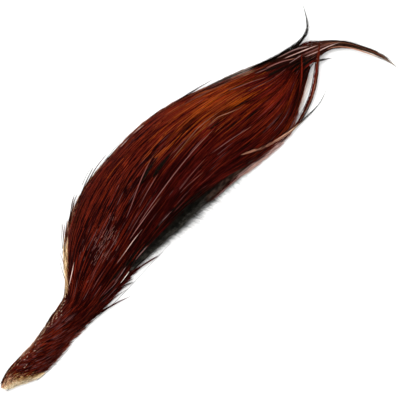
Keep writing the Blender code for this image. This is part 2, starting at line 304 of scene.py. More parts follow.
@dataclass(frozen=True)
class FeatherPattern:
    """One feather, flat and of unit length: a shaft, with barbs that lie back along it.

    The mesh holds the share along the feather in x, the share across its half width in y, and
    the height in millimetres in z.
    """

    barbs: int
    bends: int
    reach: float
    seed: int
    full_at: float = 0.30
    taper_from: float = 0.45
    taper_power: float = 0.85
    root_width: float = 0.35
    droop: float = 0.45
    raggedness: float = 0.25
    barb_spread: tuple = (0.85, 1.15)
    barb_end: float = 0.92
    barb_half: float = 0.62
    barb_narrowing: float = 0.72
    barb_lift: float = 0.06
    last_barb: float = 0.985
    barb_shift: float = 0.3
    shaft_half: float = 0.07
    shaft_taper: float = 1.15
    shaft_rise: float = 0.12
    shaft_clear: float = 0.02
    spindle: bool = False
    steps: int = 8
    ridge: int = 2

    def outline(self, along: np.ndarray) -> np.ndarray:
        """Find the feather's outline.

        Args:
            along: Shares of the way along the feather.

        Returns:
            The share of the full half width at each.
        """
        opening = self.root_width + (1 - self.root_width) * np.minimum(along / self.full_at, 1.0)
        closing = np.minimum((1.0 - along) / (1.0 - self.taper_from), 1.0)
        return opening * np.maximum(closing, 0.0) ** self.taper_power

    def shaft(self, bm: bmesh.types.BMesh) -> None:
        """Add the shaft, a narrow ridge from root to tip.

        Args:
            bm: The mesh that it goes into.
        """
        made = bmesh.ops.create_grid(bm, x_segments=self.steps, y_segments=self.ridge, size=0.5)
        for vert in made["verts"]:
            along = vert.co.x + 0.5
            side = vert.co.y * 2
            half = self.shaft_half * (self.shaft_taper - along)
            if self.spindle:
                half = self.shaft_half * math.sqrt(max(4 * along * (1 - along), 0.0))
            vert.co = (along, side * half, self.shaft_rise * (1 - abs(side)) + self.shaft_clear)

    def barb(self, bm: bmesh.types.BMesh, start: float, side: int, draw: np.random.Generator) -> None:
        """Add one barb.

        Args:
            bm: The mesh that it goes into.
            start: Share along the feather where it leaves the shaft.
            side: 1 or -1, the side of the shaft.
            draw: The random source.
        """
        reach = min(self.reach * draw.uniform(*self.barb_spread), (1.0 - start) * self.barb_end)
        full = float(self.outline(np.array([min(start + 0.6 * reach, 1.0)]))[0])
        full *= draw.uniform(1.0 - self.raggedness, 1.0)
        half = self.barb_half / self.barbs
        lift = draw.normal(0.0, self.barb_lift)
        made = bmesh.ops.create_grid(bm, x_segments=self.bends, y_segments=1, size=0.5)
        for vert in made["verts"]:
            share = vert.co.x + 0.5
            edge = vert.co.y * 2 * half * (1.0 - self.barb_narrowing * share ** 1.5)
            across = full * share ** 0.8
            height = lift * share - self.droop * across ** 2
            vert.co = (start + reach * share + edge, side * across, height)
        if side < 0:
            faces = list({face for vert in made["verts"] for face in vert.link_faces})
            bmesh.ops.reverse_faces(bm, faces=faces)

    def arrays(self) -> tuple[np.ndarray, np.ndarray]:
        """Make the feather.

        Returns:
            Its vertices, and its faces as four vertex numbers each.
        """
        draw = np.random.default_rng(self.seed)
        bm = bmesh.new()
        for start in np.linspace(0.0, self.last_barb, self.barbs):
            for side in (1, -1):
                shift = draw.uniform(-self.barb_shift, self.barb_shift) / self.barbs
                self.barb(bm, start + shift, side, draw)
        self.shaft(bm)
        bm.verts.index_update()
        verts = np.array([vert.co for vert in bm.verts])
        faces = np.array([[vert.index for vert in face.verts] for face in bm.faces])
        bm.free()
        return verts, faces


class Patterns:
    """The feather patterns that the cape's feathers are bent from."""

    def __init__(self) -> None:
        """Make a few versions of each length of feather."""
        self.long = [FeatherPattern(38, 2, 0.085, seed).arrays() for seed in (1, 2, 3, 4)]
        self.middle = [FeatherPattern(28, 2, 0.14, seed).arrays() for seed in (5, 6, 7)]
        self.short = [FeatherPattern(15, 2, 0.26, seed, droop=0.3).arrays() for seed in (8, 9, 10)]
        self.sickle = [FeatherPattern(46, 3, 0.085, seed, taper_from=0.66).arrays() for seed in (14, 15)]
        self.blunt = [FeatherPattern(46, 3, 0.085, seed, taper_from=0.84).arrays() for seed in (11, 12)]
        self.line = FeatherPattern(0, 1, 0.0, 13, shaft_half=1.0, shaft_rise=0.2, spindle=True).arrays()
        self.wisp = FeatherPattern(0, 1, 0.0, 16, shaft_half=1.0, shaft_rise=0.0, spindle=True, steps=6,
                                   ridge=1).arrays()


@dataclass
class Feather:
    """One feather in place."""

    path: np.ndarray
    up: np.ndarray
    width: float
    pattern: tuple[np.ndarray, np.ndarray]
    tone: Tone
    roll: float = 0.0
    twist: float = 0.0

    def bend(self, variant: int) -> tuple[np.ndarray, np.ndarray, np.ndarray]:
        """Bend the pattern along the path.

        Args:
            variant: Which streaks the feather has, below VARIANTS.

        Returns:
            The vertices in plan millimetres, the faces, and each vertex's place in the map.
        """
        flat, faces = self.pattern
        along = np.clip(flat[:, 0], 0.0, 1.0)
        knots = np.linspace(0.0, 1.0, len(self.path))
        ahead = np.gradient(self.path, axis=0)
        ahead /= np.linalg.norm(ahead, axis=1)[:, None]
        side = np.cross(self.up, ahead)
        side /= np.linalg.norm(side, axis=1)[:, None]
        up = np.cross(ahead, side)
        turn = (self.roll + self.twist * knots)[:, None]
        across_way = side * np.cos(turn) + up * np.sin(turn)
        up_way = up * np.cos(turn) - side * np.sin(turn)
        spine, across_at, up_at = (
            np.column_stack([np.interp(along, knots, column) for column in part.T])
            for part in (self.path, across_way, up_way))
        verts = (spine + across_at * (flat[:, 1] * self.width / 2)[:, None]
                 + up_at * flat[:, 2][:, None])
        row = self.tone.row * ROWS_A_TONE + 1 + variant
        band = (row + 0.5 + ROW_HALF * np.clip(flat[:, 1], -1, 1)) / ROWS
        return verts, faces, np.column_stack([MAP_EDGE + (1 - 2 * MAP_EDGE) * along, band])


class Plumage:
    """Feathers joined into one piece."""

    def __init__(self, name: str) -> None:
        """Start an empty piece with a name."""
        self.name = name
        self.feathers: list[Feather] = []

    def add(self, feather: Feather) -> None:
        """Put one more feather into the piece."""
        self.feathers.append(feather)

    def build(self, material: bpy.types.Material) -> bpy.types.Object:
        """Join the feathers into one mesh.

        Args:
            material: The finish of the piece.

        Returns:
            The finished object.
        """
        verts, faces, places, start = [], [], [], 0
        for number, feather in enumerate(self.feathers):
            bent, quads, where = feather.bend(number % VARIANTS)
            verts.append(bent)
            faces.append(quads + start)
            places.append(where)
            start += len(bent)
        return mesh_piece(self.name, np.vstack(verts), np.vstack(faces), material, np.vstack(places))


def mesh_piece(name: str, verts: np.ndarray, faces: np.ndarray, material: bpy.types.Material,
               places: np.ndarray | None = None) -> bpy.types.Object:
    """Make one object of the coat from arrays.

    Args:
        name: The object's name.
        verts: Vertices in plan millimetres.
        faces: Vertex numbers, one row a face.
        material: The finish.
        places: Each vertex's place in the pattern map, if the finish reads one.

    Returns:
        The finished object.
    """
    mesh = bpy.data.meshes.new(name)
    verts = verts.copy()
    verts[:, 2] = np.maximum(verts[:, 2], LEAST_HEIGHT)
    mesh.from_pydata(to_frame(verts).tolist(), [], faces.tolist())
    if places is not None:
        layer = mesh.uv_layers.new(name=UV_NAME)
        layer.data.foreach_set("uv", places[faces.ravel()].astype(np.float32).ravel())
    mesh.polygons.foreach_set("use_smooth", np.ones(len(faces), dtype=bool))
    return place_piece(mesh, material)


def mesh_of(bm: bmesh.types.BMesh, name: str) -> bpy.types.Mesh:
    """Turn a bmesh into a mesh.

    Args:
        bm: The bmesh, which is freed.
        name: The mesh's name.

    Returns:
        The mesh.
    """
    mesh = bpy.data.meshes.new(name)
    bm.to_mesh(mesh)
    bm.free()
    return mesh


def place_piece(mesh: bpy.types.Mesh, material: bpy.types.Material) -> bpy.types.Object:
    """Put a mesh of the coat in place.

    Args:
        mesh: The mesh, named as its object will be.
        material: The finish.

    Returns:
        The object, riding on the cape and standing for the plain coat.
    """
    mesh.materials.append(material)
    piece = bpy.data.objects.new(mesh.name, mesh)
    bpy.context.collection.objects.link(piece)
    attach(piece, BODY)
    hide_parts(COAT_NODE)
    LOG.info("%s: %d faces", piece.name, len(mesh.polygons))
    return piece


class Signal:
    """A number that varies over a surface, with Python's arithmetic."""

    def __init__(self, tree: bpy.types.NodeTree, socket: bpy.types.NodeSocket) -> None:
        """Wrap an output socket of a node tree."""
        self.tree = tree
        self.socket = socket

    def math(self, operation: str, *others: "Signal | float", swap: bool = False) -> "Signal":
        """Add one Math node.

        Args:
            operation: The node's operation.
            others: The numbers or signals after this one.
            swap: Whether this signal comes second.

        Returns:
            The node's result.
        """
        node = self.tree.nodes.new("ShaderNodeMath")
        node.operation = operation
        terms = [self, *others]
        if swap:
            terms = terms[::-1]
        for index, term in enumerate(terms):
            if isinstance(term, Signal):
                self.tree.links.new(term.socket, node.inputs[index])
            else:
                node.inputs[index].default_value = term
        return Signal(self.tree, node.outputs[0])

    def __add__(self, other: "Signal | float") -> "Signal":
        """Add."""
        return self.math("ADD", other)

    def __radd__(self, other: float) -> "Signal":
        """Add to a number."""
        return self.math("ADD", other)

    def __sub__(self, other: "Signal | float") -> "Signal":
        """Subtract."""
        return self.math("SUBTRACT", other)

    def __rsub__(self, other: float) -> "Signal":
        """Subtract from a number."""
        return self.math("SUBTRACT", other, swap=True)

    def __mul__(self, other: "Signal | float") -> "Signal":
        """Multiply."""
        return self.math("MULTIPLY", other)

    def __rmul__(self, other: float) -> "Signal":
        """Multiply a number."""
        return self.math("MULTIPLY", other)

    def __truediv__(self, other: "Signal | float") -> "Signal":
        """Divide."""
        return self.math("DIVIDE", other)

    def __pow__(self, other: float) -> "Signal":
        """Raise to a power."""
        return self.math("POWER", other)

    def __abs__(self) -> "Signal":
        """Drop the sign."""
        return self.math("ABSOLUTE")

    def fraction(self) -> "Signal":
        """Keep what stands after the decimal point."""
        return self.math("FRACT")

    def wave(self) -> "Signal":
        """Take the sine."""
        return self.math("SINE")


class Recipe:
    """One material under construction."""

    def __init__(self, name: str) -> None:
        """Start a material with its shader.

        Args:
            name: The material's name.
        """
        self.material = bpy.data.materials.new(name)
        self.material.use_nodes = True
        self.tree = self.material.node_tree
        self.shader = self.tree.nodes["Principled BSDF"]

    def node(self, kind: str, settings: dict | None = None, sockets: dict | None = None) -> bpy.types.Node:
        """Add a node.

        Args:
            kind: The node's type.
            settings: Its settings, with a ramp's stops as "stops".
            sockets: Values or links of its inputs, by name or number.

        Returns:
            The node.
        """
        node = self.tree.nodes.new(kind)
        for key, value in (settings or {}).items():
            if key == "stops":
                self.set_stops(node.color_ramp, value)
            elif key == "ramp":
                node.color_ramp.interpolation = value
            else:
                setattr(node, key, value)
        for key, value in (sockets or {}).items():
            self.feed(node.inputs[key], value)
        return node

    def set_stops(self, ramp: bpy.types.ColorRamp, stops: Sequence[tuple]) -> None:
        """Give a ramp its stops.

        Args:
            ramp: The ramp, which keeps one of its own stops as the first.
            stops: A place and a colour for each stop.
        """
        while len(ramp.elements) > 1:
            ramp.elements.remove(ramp.elements[-1])
        for index, (place, colour) in enumerate(stops):
            stop = ramp.elements[0] if index == 0 else ramp.elements.new(place)
            stop.position = place
            stop.color = (*colour, 1.0)

    def feed(self, socket: bpy.types.NodeSocket, value: object) -> None:
        """Link or set an input.

        Args:
            socket: The input.
            value: A signal, a node's output or a plain value.
        """
        if isinstance(value, Signal):
            self.tree.links.new(value.socket, socket)
        elif isinstance(value, bpy.types.NodeSocket):
            self.tree.links.new(value, socket)
        else:
            socket.default_value = value

    def signal(self, socket: bpy.types.NodeSocket) -> Signal:
        """Wrap a node's output as a signal."""
        return Signal(self.tree, socket)

    def step(self, value: Signal, low: float, high: float) -> Signal:
        """Rise smoothly from 0 at one value to 1 at another."""
        node = self.node("ShaderNodeMapRange", {"interpolation_type": "SMOOTHSTEP"},
                         {"Value": value, "From Min": low, "From Max": high})
        return self.signal(node.outputs[0])

    def noise(self, vector: bpy.types.NodeSocket, scale: float, detail: float = 2.0) -> Signal:
        """Read soft noise, from 0 to 1."""
        node = self.node("ShaderNodeTexNoise", {"noise_dimensions": "3D"},
                         {"Vector": vector, "Scale": scale, "Detail": detail})
        return self.signal(node.outputs[0])

    def vector(self, *parts: "Signal | float") -> bpy.types.NodeSocket:
        """Combine up to three numbers into a vector."""
        return self.node("ShaderNodeCombineXYZ", None, dict(zip("XYZ", parts))).outputs[0]

    def blend(self, share: Signal, first: object, second: object) -> bpy.types.NodeSocket:
        """Mix two colours."""
        node = self.node("ShaderNodeMix", {"data_type": "RGBA"}, {0: share, 6: first, 7: second})
        return node.outputs[2]

    def scale(self, colour: bpy.types.NodeSocket, amount: Signal) -> bpy.types.NodeSocket:
        """Make a colour darker or lighter."""
        node = self.node("ShaderNodeVectorMath", {"operation": "SCALE"}, {0: colour, 3: amount})
        return node.outputs[0]

    def bump(self, height: Signal, distance: float, strength: float) -> None:
        """Raise the surface by a height from 0 to 1, over a distance in millimetres."""
        node = self.node("ShaderNodeBump", None,
                         {"Height": height, "Distance": distance * MM, "Strength": strength})
        self.feed(self.shader.inputs["Normal"], node.outputs[0])

    def finish(self, **values: object) -> bpy.types.Material:
        """Set the shader's inputs.

        Args:
            values: The inputs by name, with an underscore for each space.

        Returns:
            The finished material.
        """
        for key, value in values.items():
            self.feed(self.shader.inputs[key.replace("_", " ")], value)
        return self.material


@dataclass(frozen=True)
class HackleFinish:
    """Glossy hackle: each feather's colour runs along it, with a dark centre, fine streaks, and painted shade
    towards its borders between the feathers.
    """

    name: str = "hackle"
    specular: float = 0.015
    tint: tuple = (1.0, 0.40, 0.30, 1.0)
    roughness: float = 0.38
    depth: float = 0.92
    middle_at: tuple = (0.36, 0.62)
    tip_at: tuple = (0.66, 0.92)
    stripe_at: tuple = (0.08, 0.40)
    border_shade_at: tuple = (0.70, 0.95)
    contrast: float = 1.5
    streak_at: tuple = (0.38, 0.60)
    barb_slant: float = 0.085
    barb_waves: float = 900.0

    def material(self) -> bpy.types.Material:
        """Make the finish, which reads the feathers' pattern map.

        Returns:
            The material.
        """
        recipe = Recipe(self.name)
        place = recipe.node("ShaderNodeUVMap", {"uv_map": UV_NAME}).outputs[0]
        split = recipe.node("ShaderNodeSeparateXYZ", None, {0: place})
        along = recipe.signal(split.outputs[0])
        band = recipe.signal(split.outputs[1])
        rows = band * ROWS
        side = (rows.fraction() - 0.5) / ROW_HALF
        across = abs(side)
        colours = [self.ramp(recipe, band, [getattr(tone, part) for tone in Tone])
                   for part in ("root", "middle", "tip")]
        colour = recipe.blend(recipe.step(along, *self.middle_at), colours[0], colours[1])
        colour = recipe.blend(recipe.step(along, *self.tip_at), colour, colours[2])
        stripes = self.ramp(recipe, band, [(tone.stripe,) * 3 for tone in Tone])
        centre = self.contrast - self.contrast * recipe.step(across, *self.stripe_at)
        stripe = recipe.signal(stripes) * centre
        # Painted shade: each feather darkens towards its borders, so dark lines run between the feathers
        edge = 1 - self.contrast * recipe.signal(stripes) * recipe.step(across, *self.border_shade_at)
        streak = recipe.noise(recipe.vector(along * 1.4, side * 2.0, rows * 0.9), 1.0, 1.0)
        streak = 0.40 + 1.2 * recipe.step(streak, *self.streak_at)
        barb = along - self.barb_slant * across
        grain = recipe.noise(recipe.vector(barb * 60, rows * 0.8, 0.0), 1.0, 3.0)
        patch = recipe.noise(recipe.vector(along * 3, rows * 1.7, 4.0), 1.0, 1.0)
        shade = (1 - stripe) * edge * streak * (0.9 + 0.2 * grain) * (0.9 + 0.4 * patch) * self.depth
        ridges = (barb * self.barb_waves).wave() * 0.5 + 0.5
        recipe.bump(ridges, distance=0.05, strength=0.35)
        return recipe.finish(Base_Color=recipe.scale(colour, shade),
                             Roughness=self.roughness + 0.2 * (grain - 0.5),
                             Specular_IOR_Level=self.specular, Specular_Tint=self.tint)

    def ramp(self, recipe: Recipe, band: Signal, colours: Sequence[tuple]) -> bpy.types.NodeSocket:
        """Give each tone's row its own flat colour.

        Args:
            recipe: The material under construction.
            band: Place across the rows, from 0 to 1.
            colours: A colour for each tone.

        Returns:
            The colour of the tone in whose row the place lies.
        """
        stops = [(row / len(colours), colour) for row, colour in enumerate(colours)]
        node = recipe.node("ShaderNodeValToRGB", {"ramp": "CONSTANT", "stops": stops}, {0: band})
        return node.outputs[0]


@dataclass(frozen=True)
class DownFinish:
    """Soft, dull down in one dark colour that varies a little."""

    name: str
    dark: tuple[float, float, float]
    light: tuple[float, float, float]
    scale: float = 300.0

    def material(self) -> bpy.types.Material:
        """Make the finish from noise over the object.

        Returns:
            The material.
        """
        recipe = Recipe(self.name)
        place = recipe.node("ShaderNodeTexCoord").outputs["Object"]
        mottle = recipe.noise(place, self.scale, 3.0)
        colour = recipe.blend(recipe.step(mottle, 0.35, 0.7), (*self.dark, 1.0), (*self.light, 1.0))
        recipe.bump(mottle, distance=0.3, strength=0.3)
        return recipe.finish(Base_Color=colour, Roughness=0.85 + 0.1 * mottle,
                             Specular_IOR_Level=0.03)


@dataclass(frozen=True)
class SkinFinish:
    """Dried raw skin: parchment cream, pink where it is bare, with small pits and stains."""

    name: str = "dried skin"
    cream: tuple = (0.46, 0.33, 0.20, 1.0)
    stained: tuple = (0.30, 0.18, 0.09, 1.0)
    bare: tuple = (0.38, 0.18, 0.12, 1.0)
    bare_ends: tuple = (-0.149, -0.128)

    def material(self) -> bpy.types.Material:
        """Make the finish from noise and cells over the object.

        Returns:
            The material.
        """
        recipe = Recipe(self.name)
        place = recipe.node("ShaderNodeTexCoord").outputs["Object"]
        split = recipe.node("ShaderNodeSeparateXYZ", None, {0: place})
        head = 1 - recipe.step(recipe.signal(split.outputs[0]), *self.bare_ends)
        stain = recipe.noise(place, 60.0, 4.0)
        fine = recipe.noise(place, 900.0, 3.0)
        colour = recipe.blend(recipe.step(stain, 0.35, 0.7), self.cream, self.stained)
        colour = recipe.blend(head * 0.7, colour, self.bare)
        pores = recipe.node("ShaderNodeTexVoronoi", {"feature": "F1"},
                            {"Vector": place, "Scale": 420.0}).outputs["Distance"]
        pit = recipe.step(recipe.signal(pores), 0.05, 0.35)
        recipe.bump(pit * 0.7 + fine * 0.3, distance=0.25, strength=0.6)
        return recipe.finish(Base_Color=recipe.scale(colour, 0.72 + 0.28 * pit),
                             Roughness=0.5 + 0.25 * fine, Specular_IOR_Level=0.3)


@dataclass(frozen=True)
class HornFinish:
    """Pale horn of bare quills."""

    name: str = "quill horn"
    pale: tuple = (0.62, 0.42, 0.30, 1.0)
    brown: tuple = (0.42, 0.22, 0.14, 1.0)

    def material(self) -> bpy.types.Material:
        """Make the finish from noise over the object.

        Returns:
            The material.
        """
        recipe = Recipe(self.name)
        place = recipe.node("ShaderNodeTexCoord").outputs["Object"]
        mottle = recipe.noise(place, 700.0)
        colour = recipe.blend(mottle, self.pale, self.brown)
        return recipe.finish(Base_Color=colour, Roughness=0.35 + 0.2 * mottle,
                             Specular_IOR_Level=0.4)


@dataclass(frozen=True)
class PaperFinish:
    """Plain white paper under the cape."""

    name: str = "white paper"
    white: tuple = (0.93, 0.93, 0.925, 1.0)

    def material(self) -> bpy.types.Material:
        """Make the finish, with a faint tooth.

        Returns:
            The material.
        """
        recipe = Recipe(self.name)
        place = recipe.node("ShaderNodeTexCoord").outputs["Object"]
        tooth = recipe.noise(place, 500.0)
        return recipe.finish(Base_Color=self.white, Roughness=0.85 + 0.1 * tooth,
                             Specular_IOR_Level=0.1)


LANE_PLACES = 48
HIGHEST_ROOT = 1.2
# Neck feathers may lean out past the borders, and body hackles stay inside them
NECK_ENDS = (-60, -40)
LOWEST_LANES = (-0.12, 0.006)
HIGHEST_LANES = (1.03, 0.992)


@dataclass
class LanePath:
    """How one feather lies on the coat."""

    root_x: float
    length: float
    lane: float
    drift: float = 0.0
    bow: float = 0.0
    rise_power: float = 2.6
    lift: float = 0.0
    hem: float = 1.0

    def lay(self, coat: Coat) -> tuple[np.ndarray, np.ndarray]:
        """Lay the path on the coat.

        Args:
            coat: The form of the feather mass.

        Returns:
            Places in plan millimetres from root to tip, and the way up at each.
        """
        share = np.linspace(0.0, 1.0, LANE_PLACES)
        x = self.root_x + share * self.length
        lowest = np.interp(x, NECK_ENDS, LOWEST_LANES)
        highest = np.interp(x, NECK_ENDS, HIGHEST_LANES)
        lane = np.clip(self.lane + self.drift * share, lowest, highest)
        y = coat.lane_y(lane, x) + self.hem * coat.hem_rise(lane, x) + self.bow * share ** 2
        line = even_line(np.column_stack([x, y]), PATH_STEPS, self.length)
        x, y = line[:, 0], line[:, 1]
        share = np.linspace(0.0, 1.0, PATH_STEPS)
        top = coat.top(x, y)
        base = np.minimum(HIGHEST_ROOT, 0.5 * top)
        rising = 1 - (1 - share) ** self.rise_power
        z = base + (top - base) * rising + self.lift * np.minimum(share * 2.5, 1.0)
        return np.column_stack([x, y, z]), coat.up(x, y)


@dataclass(frozen=True)
class Zone:
    """A patch of the coat in which some tones are common, more so the higher their weights are."""

    x: float
    y: float
    half_x: float
    half_y: float
    tones: dict[Tone, float]

    def share(self, x: float, y: float) -> float:
        """Say how strongly the zone rules a place, from 0 to 1."""
        return math.exp(-((x - self.x) / self.half_x) ** 2 - ((y - self.y) / self.half_y) ** 2)


BODY_TONES = {Tone.DARK: 0.20, Tone.WINE: 0.26, Tone.MAHOGANY: 0.32, Tone.RED_BROWN: 0.22}
BODY_ZONES = (
    Zone(42, 39.6, 21, 4.4, {Tone.GINGER: 0.70, Tone.RUST: 0.30}),
    Zone(34, 31.0, 18, 2.8, {Tone.GOLD: 0.30, Tone.GINGER: 0.20, Tone.CHESTNUT: 0.30, Tone.DARK: 0.20}),
    Zone(68, 31.0, 16, 5.0, {Tone.GINGER: 0.58, Tone.GOLD: 0.06, Tone.RUST: 0.36}),
    Zone(73, 21.8, 11, 4.2, {Tone.RUST: 0.80, Tone.CHESTNUT: 0.20}),
    Zone(93, 27.5, 8, 5.0, {Tone.SOOT: 0.40, Tone.DARK: 0.40, Tone.WINE: 0.20}),
    Zone(96, 9.0, 12, 4.0, {Tone.RUST: 0.30, Tone.CHESTNUT: 0.70}),
    Zone(84, -1.0, 14, 3.0, {Tone.RUST: 0.30, Tone.CHESTNUT: 0.70}),
    Zone(66, 42.5, 26, 4.5,
         {Tone.RUST: 0.36, Tone.CHESTNUT: 0.40, Tone.RED_BROWN: 0.12, Tone.BRONZE: 0.12}),
    Zone(-4, 51.5, 58, 7.0, {Tone.CHESTNUT: 0.50, Tone.RED_BROWN: 0.42, Tone.DARK: 0.08}),
    Zone(-56, 37.0, 14, 8.0, {Tone.DARK: 0.46, Tone.WINE: 0.34, Tone.SOOT: 0.20}),
    Zone(-14, 13.0, 40, 7.0, {Tone.SOOT: 0.22, Tone.DARK: 0.58, Tone.WINE: 0.20}),
    Zone(-30, 48.0, 14, 5.0, {Tone.RUST: 0.20, Tone.CHESTNUT: 0.80}),
    Zone(-18, 40.0, 14, 4.4, {Tone.CHESTNUT: 0.50, Tone.RED_BROWN: 0.50}),
    Zone(-38, 4.5, 14, 3.2, {Tone.SOOT: 0.44, Tone.DARK: 0.40, Tone.WINE: 0.16}),
    Zone(2, 5.0, 40, 4.0, {Tone.SOOT: 0.60, Tone.DARK: 0.40}),
    Zone(8, 16.0, 14, 4.0, {Tone.DARK: 0.40, Tone.WINE: 0.60}),
    Zone(40, 11.0, 12, 3.6, {Tone.MAHOGANY: 0.50, Tone.RED_BROWN: 0.50}),
    Zone(6, 33.0, 9, 2.6, {Tone.MAHOGANY: 0.60, Tone.RED_BROWN: 0.40}),
    Zone(66, 7.0, 26, 6.0, {Tone.DARK: 0.30, Tone.WINE: 0.32, Tone.MAHOGANY: 0.26, Tone.SOOT: 0.12}),
    Zone(102, 25.0, 8, 5.0, {Tone.DARK: 0.50, Tone.SOOT: 0.35, Tone.WINE: 0.15}),
    Zone(112, 20.0, 9, 7.0, {Tone.DARK: 0.40, Tone.SOOT: 0.50, Tone.MAHOGANY: 0.10}),
    Zone(27, 48.0, 17, 5.4, {Tone.RUST: 1.20, Tone.CHESTNUT: 0.80}),
    Zone(5, 25.5, 15, 5.6, {Tone.DARK: 1.10, Tone.WINE: 0.40, Tone.SOOT: 0.50}),
    Zone(58, 40.5, 10, 3.4, {Tone.CHESTNUT: 0.70, Tone.RED_BROWN: 0.80}),
    Zone(74, 5.0, 11, 3.6, {Tone.RED_BROWN: 0.80, Tone.CHESTNUT: 1.00}),
)


class ToneField:
    """Which tones the feathers have, by where the part that shows lies."""

    def __init__(self, seed: int, tones: dict[Tone, float], zones: Sequence[Zone] = ()) -> None:
        """Start the field.

        Args:
            seed: Seed of its own draw.
            tones: Weights of the tones between the zones.
            zones: The zones.
        """
        self.draw = np.random.default_rng(seed)
        self.tones = tones
        self.zones = zones

    def pick(self, x: float, y: float) -> Tone:
        """Draw a tone.

        Args:
            x: Place along the cape.
            y: Place across it.

        Returns:
            The tone.
        """
        shares = [zone.share(x, y) for zone in self.zones]
        rest = max(0.0, 1.0 - sum(shares))
        weights = {tone: rest * value for tone, value in self.tones.items()}
        for zone, share in zip(self.zones, shares):
            for tone, value in zone.tones.items():
                weights[tone] = weights.get(tone, 0.0) + share * value
        chances = np.array(list(weights.values()))
        return list(weights)[int(self.draw.choice(len(chances), p=chances / chances.sum()))]


@dataclass
class Layer:
    """Feathers that are laid over the coat and joined into pieces."""

    coat: Coat
    patterns: Patterns
    seed: int

    def lay(self, draw: np.random.Generator) -> list[Plumage]:
        """Lay the feathers of every piece."""
        raise NotImplementedError

    def build(self, material: bpy.types.Material) -> list[bpy.types.Object]:
        """Lay the feathers and join them.

        Args:
            material: The hackles' finish.

        Returns:
            One object for each piece.
        """
        return [bed.build(material) for bed in self.lay(np.random.default_rng(self.seed))]


@dataclass
class HackleRows(Layer):
    """Hackles of the body, laid row after row from the neck to the back end of the skin."""

    seed: int = 21
    rows: int = 34
    per_row: int = 31
    first_x: float = -97.0
    last_x: float = 44.0
    groups: tuple = (("shoulder_hackles", -58.0), ("crown_hackles", -12.0), ("saddle_hackles", 99.0))
    lengths: tuple = ((-97, 42), (-80, 62), (-60, 82), (-40, 98), (-20, 108), (0, 108), (20, 92),
                      (44, 68))
    length_spread: tuple = (0.84, 1.06)
    waist: tuple = ((-90, 0.975), (-78, 0.925), (-70, 0.992))
    stray_share: float = 0.16
    stray: float = 0.07
    calm: float = 0.022
    shown_at: float = 0.78
    long_from: float = 60.0

    def path(self, x: float, place: int, draw: np.random.Generator) -> LanePath:
        """Say how one hackle lies.

        Args:
            x: Where it is rooted along the cape.
            place: Its number in the row, from the cut edge.
            draw: The random source.

        Returns:
            Its way over the coat.
        """
        lane = (place + draw.uniform(0.0, 1.0)) / self.per_row
        lane *= table_at(x, self.waist)
        length = table_at(x, self.lengths) * draw.uniform(*self.length_spread)
        spread = self.stray if draw.uniform() < self.stray_share else self.calm
        drift = draw.normal(0, spread)
        if lane < 0.09 and draw.uniform() < 0.4:
            drift -= draw.uniform(0.03, 0.16)
        if lane > 0.86 and x < -72:
            drift = abs(drift) + 0.03
        return LanePath(x, length, lane, drift=drift, bow=draw.normal(0, 0.7),
                        rise_power=draw.uniform(2.8, 4.2), lift=draw.uniform(-0.8, 0.9),
                        hem=draw.uniform(0.66, 1.16))

    def lay(self, draw: np.random.Generator) -> list[Plumage]:
        """Lay every row.

        Args:
            draw: The random source.

        Returns:
            One piece for each group of rows.
        """
        tones = ToneField(self.seed + 1, BODY_TONES, BODY_ZONES)
        beds = [Plumage(name) for name, _ in self.groups]
        gap = (self.last_x - self.first_x) / (self.rows - 1)
        for number in range(self.rows * self.per_row):
            row, place = divmod(number, self.per_row)
            x = self.first_x + (row + draw.uniform(-0.5, 0.5)) * gap
            path = self.path(x, place, draw)
            line, up = path.lay(self.coat)
            tone = tones.pick(*line[int(self.shown_at * PATH_STEPS), :2])
            patterns = self.patterns.long if path.length > self.long_from else self.patterns.middle
            pattern = patterns[int(draw.integers(len(patterns)))]
            bed = next(bed for bed, (_, end) in zip(beds, self.groups) if x < end)
            bed.add(Feather(line, up, draw.uniform(1.8, 2.8), pattern, tone,
                            roll=draw.normal(0, 0.15), twist=draw.normal(0, 0.12)))
        return beds


NECK_TONES = {Tone.SOOT: 0.08, Tone.DARK: 0.12, Tone.WINE: 0.14, Tone.MAHOGANY: 0.24, Tone.RED_BROWN: 0.28,
              Tone.CHESTNUT: 0.14}
NECK_ZONES = (
    Zone(-149, 3.6, 5.0, 3.6, {Tone.FLESH: 0.86, Tone.CHESTNUT: 0.14}),
    Zone(-142, 0.8, 5.0, 2.6, {Tone.HONEY: 0.4, Tone.FLAX: 0.2, Tone.FLESH: 0.4}),
    Zone(-137.5, -0.8, 4.2, 2.4, {Tone.HONEY: 0.7, Tone.GOLD: 0.3}),
    Zone(-132.5, -5.0, 3.0, 1.4, {Tone.HONEY: 0.7, Tone.GOLD: 0.3}),
    Zone(-137, 6.0, 7.0, 3.0, {Tone.RUST: 0.20, Tone.CHESTNUT: 0.44, Tone.RED_BROWN: 0.24, Tone.FLESH: 0.12}),
    Zone(-122, 8.2, 12.0, 2.2, {Tone.RUST: 0.50, Tone.CHESTNUT: 0.26, Tone.BUFF: 0.24}),
    Zone(-92, 12.0, 9.0, 3.0, {Tone.RED_BROWN: 0.5, Tone.MAHOGANY: 0.3, Tone.WINE: 0.2}),
    Zone(-88, 5.0, 8.0, 5.0, {Tone.DARK: 0.6, Tone.WINE: 0.4}),
    Zone(-119, -2.2, 12.0, 2.8, {Tone.DARK: 0.46, Tone.WINE: 0.26, Tone.SOOT: 0.28}),
)


def neck_way(x: float) -> float:
    """Share of the way down the neck, from 0 at the head."""
    return (x + 148) / 55


